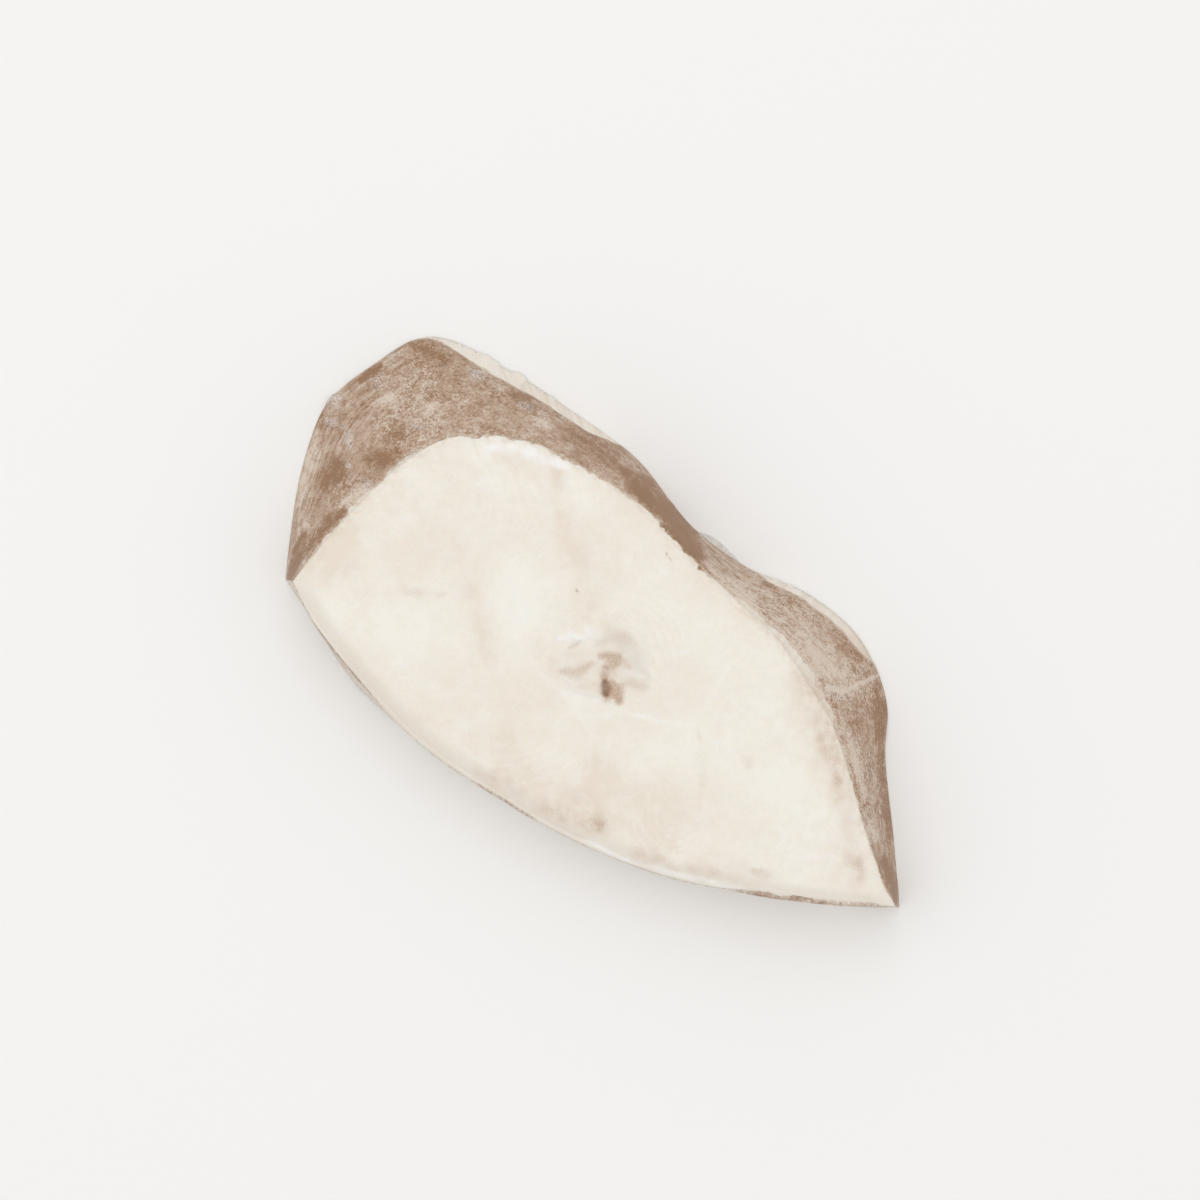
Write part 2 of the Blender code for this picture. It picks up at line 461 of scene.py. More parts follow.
@dataclass
class Lattice:
    """Points in rows and columns, joined into four-sided faces.

    mirrored is for rows and columns that turn the other way round: it keeps the faces looking outward.
    """

    points: np.ndarray
    closed_rows: bool = False
    closed_columns: bool = True
    mirrored: bool = False
    fields: dict[str, np.ndarray] = field(default_factory=dict)

    def normals(self) -> np.ndarray:
        """Return the unit normal at each point; it looks inward where the faces have to be mirrored."""
        def step(axis: int, closed: bool) -> np.ndarray:
            """Return the difference of the neighbours along one axis."""
            if closed:
                return np.roll(self.points, -1, axis=axis) - np.roll(self.points, 1, axis=axis)
            return np.gradient(self.points, axis=axis)

        normal = np.cross(step(0, self.closed_rows), step(1, self.closed_columns))
        return normal / np.maximum(np.linalg.norm(normal, axis=2), 1e-9)[..., None]

    def faces(self) -> list[tuple[int, ...]]:
        """Return the faces' corners, with flat caps where the first and last row aren't joined."""
        rows, columns = self.points.shape[:2]
        index = np.arange(rows * columns).reshape(rows, columns)
        lower = np.roll(index, -1, axis=0) if self.closed_rows else index[1:]
        upper = index if self.closed_rows else index[:-1]
        if self.closed_columns:
            quads = (upper, lower, np.roll(lower, -1, axis=1), np.roll(upper, -1, axis=1))
        else:
            quads = (upper[:, :-1], lower[:, :-1], lower[:, 1:], upper[:, 1:])
        faces = [tuple(quad) for quad in np.stack(quads, axis=-1).reshape(-1, 4).tolist()]
        if self.closed_columns and not self.closed_rows:
            faces += [tuple(index[0].tolist()), tuple(index[-1, ::-1].tolist())]
        if self.closed_rows and not self.closed_columns:
            half = rows // 2
            for column, flip in ((0, 1), (-1, -1)):
                end = index[:, column].tolist()
                for i in range(half - 1):
                    ring = (end[i], end[i + 1], end[rows - 2 - i], end[rows - 1 - i])
                    faces.append(ring[::-flip])
        return [face[::-1] for face in faces] if self.mirrored else faces

    def build(self, name: str, material: bpy.types.Material) -> bpy.types.Object:
        """Make the mesh object.

        Args:
            name: Name of the piece.
            material: Its material.

        Returns:
            The smooth-shaded object, with the fields as point attributes.
        """
        mesh = bpy.data.meshes.new(name)
        mesh.from_pydata((self.points.reshape(-1, 3) * MM).tolist(), [], self.faces())
        for label, values in self.fields.items():
            kind, slot = ("FLOAT", "value") if values.ndim == 2 else ("FLOAT_VECTOR", "vector")
            data = mesh.attributes.new(label, kind, "POINT").data
            data.foreach_set(slot, values.astype(np.float32).ravel())
        mesh.shade_smooth()
        mesh.materials.append(material)
        piece = bpy.data.objects.new(name, mesh)
        bpy.context.scene.collection.objects.link(piece)
        return piece


# ---------------------------------------------------------------- finishes

def linear(colour: str) -> tuple[float, float, float, float]:
    """Turn an sRGB hex colour such as #EAE0D1 into linear RGBA."""
    parts = (int(colour[i:i + 2], 16) / 255 for i in (1, 3, 5))
    return (*(p / 12.92 if p <= 0.04045 else ((p + 0.055) / 1.055) ** 2.4 for p in parts), 1.0)


def set_inputs(tree: bpy.types.NodeTree, node: bpy.types.Node, inputs: Inputs) -> None:
    """Fill a node's inputs.

    Args:
        tree: The tree that the node is in.
        node: The node, or the material's own shader.
        inputs: For each input its value, or the output that is linked to it.
    """
    for name, value in inputs.items():
        if isinstance(value, bpy.types.NodeSocket):
            tree.links.new(value, node.inputs[name])
        else:
            node.inputs[name].default_value = value


def add_node(
    tree: bpy.types.NodeTree, kind: str, inputs: Inputs, out: str | int = 0, **settings: object
) -> bpy.types.NodeSocket:
    """Add one node.

    Args:
        tree: The tree that it goes in.
        kind: Blender's name of the node, without the ShaderNode in front.
        inputs: For each input its value, or the output that is linked to it.
        out: The name or the place of the output that is wanted.
        settings: The node's own properties.

    Returns:
        That output.
    """
    node = tree.nodes.new("ShaderNode" + kind)
    for name, value in settings.items():
        setattr(node, name, value)
    set_inputs(tree, node, inputs)
    return node.outputs[out]


def new_material(
    name: str,
) -> tuple[bpy.types.Material, bpy.types.NodeTree, bpy.types.Node, bpy.types.NodeSocket]:
    """Start a material.

    Args:
        name: Its name.

    Returns:
        The material, its tree, its Principled shader, and the place on the object in metres.
    """
    material = bpy.data.materials.new(name)
    material.use_nodes = True
    tree = material.node_tree
    return material, tree, tree.nodes["Principled BSDF"], add_node(tree, "TexCoord", {}, "Object")


def per_metre(millimetres: float) -> float:
    """Turn the size of a pattern's lumps into the scale of a texture that reads metres."""
    return 1 / (millimetres * MM)


@dataclass(frozen=True)
class RawWhiteFish:
    """Raw white fish, cut with a knife: cream muscle, moist and a little see-through at thin edges."""

    # To the eye: light sinks in and comes back warm, so shadows are soft and the wet cut gleams only faintly.
    name: str = "raw_white_fish"
    cream: str = "#F3EEE5"
    beige: str = "#E9DFD0"
    membrane: str = "#F6F4F1"
    clear: str = "#DCD3C6"
    # painted shade in pits, and the colour of small dark specks
    blood: str = "#C4A992"
    speck_and_pit_shade: str = "#A3846C"
    fibre_mm: float = 0.9      # muscle fibres are 0.1 mm thick; drawn coarser so that they show
    mottle_mm: float = 3.5
    grit_mm: float = 0.5       # blood seeps between fibres; drawn coarser so that stains look grainy
    relief_mm: float = 0.12
    mottling: float = 0.20     # how far each pattern moves the tone between beige and cream
    stranding: float = 0.16
    # painted shade across each flake, light at its inner side and dark at its outer
    flake_shade: float = 0.22
    roughness: float = 0.42
    unevenness: float = 0.1
    scatter: float = 0.25
    scatter_mm: float = 1.2
    scatter_rgb: tuple[float, float, float] = (1.0, 0.7, 0.45)

    def colour(
        self,
        tree: bpy.types.NodeTree,
        place: bpy.types.NodeSocket,
        mottle: bpy.types.NodeSocket,
        fibre: bpy.types.NodeSocket,
        both: bpy.types.NodeSocket,
    ) -> bpy.types.NodeSocket:
        """Mix the muscle's colour from its patterns, a painted shade across each flake, and the marks that
        the mesh carries.

        Args:
            tree: The material's tree.
            place: The place on the object, in metres.
            mottle: The coarse pattern.
            fibre: The fine pattern.
            both: Their sum.

        Returns:
            The colour.
        """
        read = {
            label: add_node(tree, "Attribute", {}, out, attribute_name=label)
            for label, out in (
                ("tone", "Fac"), ("flake_count", "Fac"), ("flake_shown", "Fac"), ("fibre", "Vector"),
                ("radial", "Fac"), ("clear", "Fac"), ("membrane", "Fac"), ("blood", "Fac"), ("speck_and_pit_shade", "Fac"),
            )
        }
        grit = add_node(tree, "TexNoise", {
            "Vector": place, "Scale": per_metre(self.grit_mm), "Detail": 1.0, "Roughness": 0.5,
        })
        strand = add_node(tree, "TexNoise", {
            "Vector": read["fibre"], "Scale": 1.0, "Detail": 2.0, "Roughness": 0.6,
        })
        count = add_node(tree, "Math", {0: mottle, 1: 0.9, 2: read["flake_count"]}, operation="MULTIPLY_ADD")
        wave = add_node(tree, "Math", {0: count, 1: 0.5}, operation="PINGPONG")
        # painted shade: the tone falls from the inner to the outer side of each flake
        climb = add_node(tree, "Math", {0: count}, operation="FRACT")
        strands, line, gaps, ragged, flake_shading, share = (
            add_node(tree, "MapRange", {
                "Value": value, "From Min": low, "From Max": high, "To Min": start, "To Max": end,
            })
            for value, low, high, start, end in (
                (strand, 0.3, 0.7, -self.stranding, self.stranding),
                (wave, 0.03, 0.15, 1.0, 0.0),
                (fibre, 0.40, 0.62, 0.05, 0.55),
                (grit, 0.38, 0.62, 0.80, 1.20),
                (climb, 0.0, 1.0, self.flake_shade, -self.flake_shade),
                (both, 0.75, 1.25, -self.mottling, self.mottling),
            )
        )
        flakes = add_node(tree, "Math", {0: gaps, 1: read["flake_shown"]}, operation="MULTIPLY")
        strands, line, flake_shading = (
            add_node(tree, "Math", {0: pattern, 1: shown}, operation="MULTIPLY")
            for pattern, shown in ((strands, read["radial"]), (line, flakes), (flake_shading, read["flake_shown"]))
        )
        stain = add_node(tree, "Math", {0: read["blood"], 1: ragged}, operation="MULTIPLY", use_clamp=True)
        for shift in (strands, flake_shading, read["tone"]):
            share = add_node(tree, "Math", {0: share, 1: shift}, operation="ADD")
        colour = linear(self.beige)
        for mark, tint in (
            (add_node(tree, "Clamp", {"Value": share}), self.cream), (line, self.membrane),
            (read["clear"], self.clear), (read["membrane"], self.membrane),
            (stain, self.blood), (read["speck_and_pit_shade"], self.speck_and_pit_shade),
        ):
            colour = add_node(tree, "Mix", {0: mark, 6: colour, 7: linear(tint)}, 2, data_type="RGBA")
        return colour

    def material(self) -> bpy.types.Material:
        """Return the flesh's material."""
        material, tree, shader, place = new_material(self.name)
        mottle, fibre = (
            add_node(tree, "TexNoise", {
                "Vector": place, "Scale": per_metre(size), "Detail": detail, "Roughness": 0.6,
            })
            for size, detail in ((self.mottle_mm, 4.0), (self.fibre_mm, 3.0))
        )
        both = add_node(tree, "Math", {0: mottle, 1: fibre}, operation="ADD")
        gloss = add_node(tree, "MapRange", {
            "Value": mottle, "From Min": 0.3, "From Max": 0.7,
            "To Min": self.roughness - self.unevenness, "To Max": self.roughness + self.unevenness,
        })
        bump = add_node(tree, "Bump", {"Height": both, "Strength": 0.35, "Distance": self.relief_mm * MM})
        set_inputs(tree, shader, {
            "Base Color": self.colour(tree, place, mottle, fibre, both),
            "Normal": bump,
            "Roughness": gloss,
            "IOR": WET_IOR,
            "Subsurface Weight": self.scatter,
            "Subsurface Radius": self.scatter_rgb,
            "Subsurface Scale": self.scatter_mm * MM,
        })
        return material


@dataclass(frozen=True)
class FishSkin:
    """Wet scaled fish skin: fine dark grains on a paler ground, under a film of slime with painted wet
    glints.
    """

    # To the eye: the grains read as tiny scales, and veils of grey slime take the warmth out in places; their
    # pale flecks are painted wet glints.
    name: str
    dark: str
    middle: str
    light: str
    # grey of the slime, also the pale of its painted wet glints
    slime_and_glint: str = "#DCD8D6"
    scale_mm: float = 0.7      # width of one of this fish's small scales
    speck_mm: float = 0.45     # pigment dots are 0.1 to 0.3 mm; drawn coarser so that they show
    blotch_mm: float = 3.0
    streak_mm: float = 0.9
    relief_mm: float = 0.2
    scaling: float = 0.30      # how far each pattern moves the tone, where 1 is the way from dark to light
    specking: float = 0.42
    blotching: float = 0.26
    streaking: float = 0.45
    roughness: float = 0.5
    gloss: float = 0.3

    def material(self) -> bpy.types.Material:
        """Return the skin's material, which reads the marks that the mesh carries."""
        material, tree, shader, place = new_material(self.name)
        along = add_node(tree, "Attribute", {}, "Vector", attribute_name="grain")
        level, slime_and_glint, speckled, streaked = (
            add_node(tree, "Attribute", {}, "Fac", attribute_name=label)
            for label in ("tone", "slime_and_glint", "speckled", "streaked")
        )
        speck, blotch, streak = (
            add_node(tree, "TexNoise", {
                "Vector": where, "Scale": per_metre(size), "Detail": detail, "Roughness": coarseness,
            })
            for where, size, detail, coarseness in (
                (place, self.speck_mm, 2.0, 0.6), (place, self.blotch_mm, 3.0, 0.6),
                (along, self.streak_mm, 2.0, 0.5),
            )
        )
        scales = add_node(tree, "TexVoronoi", {"Vector": place, "Scale": per_metre(self.scale_mm)}, "Color")
        scale = add_node(tree, "SeparateColor", {"Color": scales})
        scale, grains, blotch, streak = (
            add_node(tree, "MapRange", {
                "Value": value, "From Min": low, "From Max": high, "To Min": -half, "To Max": half,
            }, clamp=False)
            for value, low, high, half in (
                (scale, 0.0, 1.0, self.scaling), (speck, 0.3, 0.7, self.specking),
                (blotch, 0.3, 0.7, self.blotching), (streak, 0.3, 0.7, self.streaking),
            )
        )
        grains = add_node(tree, "Math", {0: grains, 1: scale}, operation="ADD")
        grains, streak = (
            add_node(tree, "Math", {0: pattern, 1: shown}, operation="MULTIPLY")
            for pattern, shown in ((grains, speckled), (streak, streaked))
        )
        for shift in (grains, blotch, streak):
            level = add_node(tree, "Math", {0: level, 1: shift}, operation="ADD")
        lower, upper, glint_flecks = (
            add_node(tree, "MapRange", {"Value": value, "From Min": low, "From Max": high})
            for value, low, high in ((level, 0.0, 0.5), (level, 0.5, 1.0), (speck, 0.42, 0.62))
        )
        # painted wet glints: the slime's pale colour on the brightest specks, within the slime marks
        film = add_node(tree, "Math", {0: slime_and_glint, 1: glint_flecks}, operation="MULTIPLY", use_clamp=True)
        colour = linear(self.dark)
        for share, tint in ((lower, self.middle), (upper, self.light), (film, self.slime_and_glint)):
            colour = add_node(tree, "Mix", {0: share, 6: colour, 7: linear(tint)}, 2, data_type="RGBA")
        bump = add_node(tree, "Bump", {"Height": speck, "Strength": 0.5, "Distance": self.relief_mm * MM})
        set_inputs(tree, shader, {
            "Base Color": colour,
            "Normal": bump,
            "Roughness": self.roughness,
            "IOR": WET_IOR,
            "Specular IOR Level": self.gloss,
        })
        return material


@dataclass(frozen=True)
class WetFilm:
    """Connective film, torn off with the skin and left wet: see-through, and pale where it gathers."""

    # To the eye: what lies below shows through it, and its folds catch the light as pale lines.
    name: str = "wet_film"
    pale: str = "#F1EEE9"
    fold: str = "#E4DACD"
    fold_mm: float = 1.6
    relief_mm: float = 0.2
    opacity: float = 0.4
    roughness: float = 0.3

    def material(self) -> bpy.types.Material:
        """Return the film's material."""
        material, tree, shader, place = new_material(self.name)
        fold = add_node(tree, "TexNoise", {
            "Vector": place, "Scale": per_metre(self.fold_mm), "Detail": 3.0, "Roughness": 0.6,
        })
        share = add_node(tree, "MapRange", {"Value": fold, "From Min": 0.4, "From Max": 0.65})
        tints = {0: share, 6: linear(self.pale), 7: linear(self.fold)}
        bump = add_node(tree, "Bump", {"Height": fold, "Strength": 0.4, "Distance": self.relief_mm * MM})
        set_inputs(tree, shader, {
            "Base Color": add_node(tree, "Mix", tints, 2, data_type="RGBA"),
            "Normal": bump,
            "Roughness": self.roughness,
            "IOR": WET_IOR,
            "Alpha": self.opacity,
        })
        return material


@dataclass(frozen=True)
class PaperCard:
    """Matt white studio card: an even pale ground with a trace of tooth."""

    # To the eye: no gloss at all, only the soft shadow of what lies on it.
    name: str = "studio_card"
    white: str = "#F6F5F3"
    tooth_mm: float = 2.0
    relief_mm: float = 0.05
    roughness: float = 0.8

    def material(self) -> bpy.types.Material:
        """Return the card's material."""
        material, tree, shader, place = new_material(self.name)
        tooth = add_node(tree, "TexNoise", {"Vector": place, "Scale": per_metre(self.tooth_mm)})
        bump = add_node(tree, "Bump", {"Height": tooth, "Strength": 0.05, "Distance": self.relief_mm * MM})
        set_inputs(tree, shader, {
            "Base Color": linear(self.white), "Normal": bump, "Roughness": self.roughness,
        })
        return material


# ---------------------------------------------------------------- the pieces

@dataclass(frozen=True)
class CutFace:
    """What shows on the cut faces: muscle flakes, membranes, blood marks, the backbone's relief and the
    painted shade in its canal.
    """

    form: SliceForm
    centre: tuple[Stroke, ...] = (
        *strokes_of(Trace.CLEAR, (
            (((-3, 1.5), (3, 0), (7, -2.3), (11, -5)), 4.6, 0.46),
            (((2, -1.5), (6, -4), (8, -8)), 3, 0.42),
            (((-10.8, -10.2), (-4.8, -6.9)), 2, 0.26, 0.05),
        )),
        *strokes_of(Trace.MEMBRANE, (
            (((-14.7, -7.9), (-11.7, -4.8), (-8.2, -4.4)), 1.1, 0.60, 0.12),
            (((-9.6, -0.8), (-7.6, -2.9)), 0.8, 0.50, 0.1),
            (((-6, -20.6), (-0.5, -20), (3.5, -17.8)), 2.6, 0.42, 0.1),
            (((1.4, -23.8), (8.2, -19.9)), 1.4, 0.34),
            (((3, -20.2), (10, -18.2), (17, -15.6)), 2, 0.12, 0.1),
            (((-9.4, -16.4), (-6.4, -16.6)), 1.2, 0.34, 0.1),
            (((4.6, -8.2), (8.4, -6.4), (11.5, -5.8)), 1, 0.34, 0.1),
            (((8, -1.2), (14.4, -4.2)), 0.9, 0.26, 0.1),
            (((10.6, 1.2), (14.6, -1)), 0.8, 0.24, 0.1),
        )),
        *strokes_of(Trace.BLOOD, (
            (((-2, -5), (2.5, -7)), 4.6, 0.25),
            (((2.5, -9.5), (6.5, -13.5)), 4, 0.24),
            (((-10.9, -8.4), (-9.1, -5.6)), 0.9, 0.30, -0.05),
            (((-9.4, -15.2), (-5.8, -13.8), (-4.4, -11.4), (-3.4, -9.4)), 1.8, 0.46, -0.1),
            (((-6.6, -13.6), (-4.4, -11.6)), 1.4, 0.20, -0.1),
            (((-14.2, -13.2), (-11.4, -15.8), (-8.6, -16.8)), 1.8, 0.12),
            (((-3.4, -17), (0.4, -14)), 1.6, 0.16, -0.1),
            (((7, -10.3), (10.2, -8.8), (13.8, -7.9)), 1.4, 0.30),
            (((3.2, -4.2), (6.8, -5.2)), 1.1, 0.28),
            (((-4.7, -4), (-2.6, -0.8), (0.6, 1.6), (4.7, 1.2)), 1.9, 0.24),
            (((-4.5, 5), (-1, 6)), 1.2, 0.10),
            (((-2.3, -6.35), (0.2, -5), (2.4, -3.8)), 1.5, 0.74, -0.2, 1.2, 0.4),
            (((3, -4.4), (3.1, -6.2)), 1.3, 0.42, -0.1),
            (((0.5, -8.2), (1.4, -7.2), (3, -5.6)), 1.6, 0.68, -0.2, 1.1, 0.4),
            (((1, -8.4), (1.8, -10.8)), 1.2, 0.58, -0.2, 1, 0.3),
            (((4.6, -11.8), (6.4, -12.9), (8.2, -14.6)), 2.2, 0.90, -0.3, 1.5, 0.4),
            (((1.9, -11), (3.5, -13.2), (5.2, -15.6)), 1.9, 0.62, -0.4, 1.1, 0.3),
        )),
        # painted shade: the dark bottom of the backbone's canal pit
        *strokes_of(Trace.SPECK_AND_PIT_SHADE, (
            (((2.5, -12), (3.5, -13.4), (4.5, -14.9)), 1.2, 0.92, -1.6, 1.1, 0.35),
        )),
    )
    flesh: tuple[Stroke, ...] = (
        *strokes_of(Trace.PALE, (
            (((-55.5, -26.7),), 11, 0.45),
            (((58, -12), (74, -16)), 10, 0.40),
            (((-34, 4), (-26, -8)), 9, 0.45),
            (((-62, 10), (-45, 26)), 10, 0.30),
            (((22, -27),), 7, 0.40),
            (((28, 6), (48, 0)), 9, 0.25),
        )),
        *strokes_of(Trace.TAN, (
            (((-16, -40), (-6, -44)), 8, 0.35),
            (((12, -36), (38, -36)), 9, 0.45),
            (((-12, -48), (20, -47), (52, -41)), 5, 0.32),
            (((-39, 34.6), (-28, 20), (-16.5, 11.7)), 3.5, 0.40),
            (((-82, -23), (-80, -8)), 6, 0.60),
            (((50, 12), (62, 2), (74, -10)), 6, 0.40),
            (((-16, 8), (-6, 2)), 6, 0.35),
            (((-43, -6), (-37, -13), (-29, -22)), 4.2, 0.50),
            (((8.4, -30), (13, -38), (19, -46.5)), 2.4, 0.35),
        )),
        *strokes_of(Trace.BLOOD, (
            (((-59, -16.8), (-54, -14.1), (-49, -11.6)), 1.5, 0.15),
            (((19.6, -48.9),), 2.2, 0.46, -0.2),
            (((4, -50.6), (13, -46.6), (22, -47.5)), 4.4, 0.22),
            (((-16, -51), (-4, -51)), 3.2, 0.18),
            (((2, -52), (19, -50.4)), 3.4, 0.20),
            (((33, -50.2), (39, -48.6)), 3.4, 0.25),
            (((41.5, -49.4), (44.5, -48.6)), 1.6, 0.16),
            (((47.5, -46.8), (55, -44.8)), 3.4, 0.19),
            (((57, -43), (68, -38.2)), 4.4, 0.18),
            (((64, -39.9), (65.2, -38.4)), 1.8, 0.30),
            (((86.2, -22.6), (88.8, -24.8)), 3.4, 0.20),
            (((89.6, -28.2), (91.6, -29.2)), 2.4, 0.16),
            (((70, -2), (77.5, -9.5), (84.5, -18.5), (92, -27)), 2.8, 0.18),
            (((49.3, 15.6), (58, 9.9), (66.2, 2.6), (73.3, -5.2)), 3.2, 0.25),
            (((63, 3.5), (69.5, -4)), 3.2, 0.22),
            (((-39, 34.6), (-34, 29.4)), 2, 0.10),
            (((32.3, -11.6), (38.3, -20), (42.6, -30.8)), 1.2, 0.10),
            (((45.6, -11.6), (48.4, -13.2)), 2.4, 0.14),
        )),
        # small dark specks in the flesh, in the colour of the painted pit shade
        *strokes_of(Trace.SPECK_AND_PIT_SHADE, (
            (((-16.9, 6.5), (-16.3, 6.9)), 0.42, 0.55, -0.1),
            (((1.2, 27.6),), 0.4, 0.5),
            (((2.4, 27.2), (3, 26.9)), 0.4, 0.5),
        )),
        *strokes_of(Trace.MEMBRANE, (
            (((-26.6, -12.7), (-13.3, -18.7), (-2.3, -22.9), (7, -26.7)), 0.9, 0.20),
            (((12.3, -17), (21.8, -14.2), (30.6, -11.1)), 0.8, 0.32),
            (((-57.3, 29.9), (-51.9, 33.4), (-44.2, 35.2), (-36, 35.8)), 1.9, 0.85),
            (((-32.4, 6), (-29.2, -3.9), (-22.7, -10.6)), 0.9, 0.20),
            (((-26.9, -41.9),), 1.5, 0.40),
            (((18, -54.3), (42, -51.3), (64, -45)), 0.9, 0.60),
            (((6.4, -26.7), (8, -31), (11.4, -36.7)), 0.7, 0.20),
            (((61.8, -26.2), (87.9, -18)), 1.1, 0.26),
            (((60, -31), (84, -25)), 1, 0.20),
            (((62, -21), (84, -11)), 1, 0.18),
            (((12, 2), (19, 6)), 1.1, 0.26),
            (((-0.5, 24), (4.5, 22.5)), 1, 0.26),
            (((-66, 4), (-73, -2)), 1.4, 0.24),
        )),
    )
    nests: tuple[FlakeNest, ...] = (
        FlakeNest((-15.1, -34.2), 8, 19, 2.6, -62, 80, 0.52, 0.8),
        FlakeNest((37, -34.6), 5, 13, 2.1, -88, 88, 0.58, 1.1),
        FlakeNest((1.8, -6.2), 11, 24, 2.2, 67, 50, 0.50),
        FlakeNest((-8, -6), 17, 30, 4.2, 172, 36, 0.30),
        FlakeNest((62, 2), 22, 34, 3.6, 190, 40, 0.25),
        FlakeNest((30, -22), 34, 60, 5.2, -4, 26, 0.30),
    )
    seed: int = 11
    wander_mm: float = 7.0     # sizes of the lumps in the random fields
    quiver_mm: float = 2.2
    tear_mm: float = 2.6
    swell_mm: float = 16.0
    shred_mm: float = 0.9
    cloud_mm: float = 15.0
    patch_mm: float = 22.0
    rim_mm: float = 1.6

    def fields(self, plan: np.ndarray, from_edge: np.ndarray) -> tuple[dict[str, np.ndarray], np.ndarray]:
        """Paint the marks on a cut face.

        Args:
            plan: Each point's place on the upper cut, in millimetres.
            from_edge: Each point's distance from the slice's outline, in millimetres.

        Returns:
            The fields that the flesh's material reads, and the relief in millimetres.
        """
        grain = Grain(self.seed)
        wander = grain.shift(plan, self.wander_mm, 3, 40)
        quiver = grain.shift(plan, self.quiver_mm, 2, 40)
        away = plan - np.array(self.form.bone_top)
        near = np.linalg.norm(away, axis=-1)
        loose = plan + wander * 0.9 + quiver * 0.3
        tight = plan + wander * 0.2 + quiver * 0.40
        broken = 0.5 + 0.8 * Grain(self.seed + 7).rough(plan, self.tear_mm)
        marks = {trace: np.zeros(near.shape) for trace in Trace}
        relief = 0.20 * grain.rough(plan, self.swell_mm, 2) * ramp(9, 20, near)
        for stroke in self.flesh:
            cover = stroke.cover(loose)
            marks[stroke.trace] += cover * (0.35 + 1.2 * np.clip(broken, 0, 1.2))
            relief += stroke.relief * cover / stroke.strength
        for stroke in self.centre:
            cover = stroke.cover(tight)
            rest = 1 - np.clip(cover * (0.8 + 0.35 * np.clip(broken, 0, 1)), 0, 1)
            marks[stroke.trace] = 1 - (1 - marks[stroke.trace]) * rest
            relief += stroke.relief * cover / stroke.strength
        count, shown = np.zeros(near.shape), np.zeros(near.shape)
        for nest in self.nests:
            phase, window = nest.read(plan + wander * 1.3)
            count = np.where(window > shown, phase, count)
            shown = np.maximum(shown, window)
        shown *= ramp(8.0, 12.0, near) * ramp(0.5, 3.0, from_edge) * (0.4 + 0.6 * ramp(-0.2, 0.6, broken))
        marks[Trace.CLEAR] += 0.50 * ramp(6.0, 2.5, from_edge) * ramp(-24, -32, plan[..., 1])
        shreds = ramp(-0.3, 0.6, Grain(self.seed + 31).rough(plan, self.shred_mm, 2))
        marks[Trace.BLOOD] += 0.26 * shreds * ramp(2.6, 0.9, from_edge) * ramp(-27, -18, plan[..., 1])
        ray = away / np.maximum(near, 1)[..., None]
        fibre = np.concatenate((ray * 34, (near / 9)[..., None]), axis=-1) + wander[..., :1] * 0.4
        rim = np.exp(-from_edge / self.rim_mm)
        clouds = Grain(self.seed + 5).rough(plan, self.cloud_mm, 4)
        tone = 0.60 + 0.42 * clouds + marks[Trace.PALE] - marks[Trace.TAN] - 0.35 * rim
        patchy = 0.35 + 0.65 * ramp(-0.3, 0.5, Grain(self.seed + 21).rough(plan, self.patch_mm, 2))
        upper_rim = ramp(14, 4, from_edge) * ramp(-18, -30, plan[..., 0]) * ramp(-20, 5, plan[..., 1])
        fields = {
            "tone": tone,
            "flake_count": count,
            "flake_shown": shown,
            "fibre": fibre,
            "radial": ramp(13, 34, near) * patchy * (0.40 + 2.1 * upper_rim),
        }
        for trace, most in ((Trace.MEMBRANE, 0.95), (Trace.CLEAR, 1), (Trace.BLOOD, 1), (Trace.SPECK_AND_PIT_SHADE, 1)):
            fields[trace.value] = np.clip(marks[trace], 0, most)
        return fields, relief


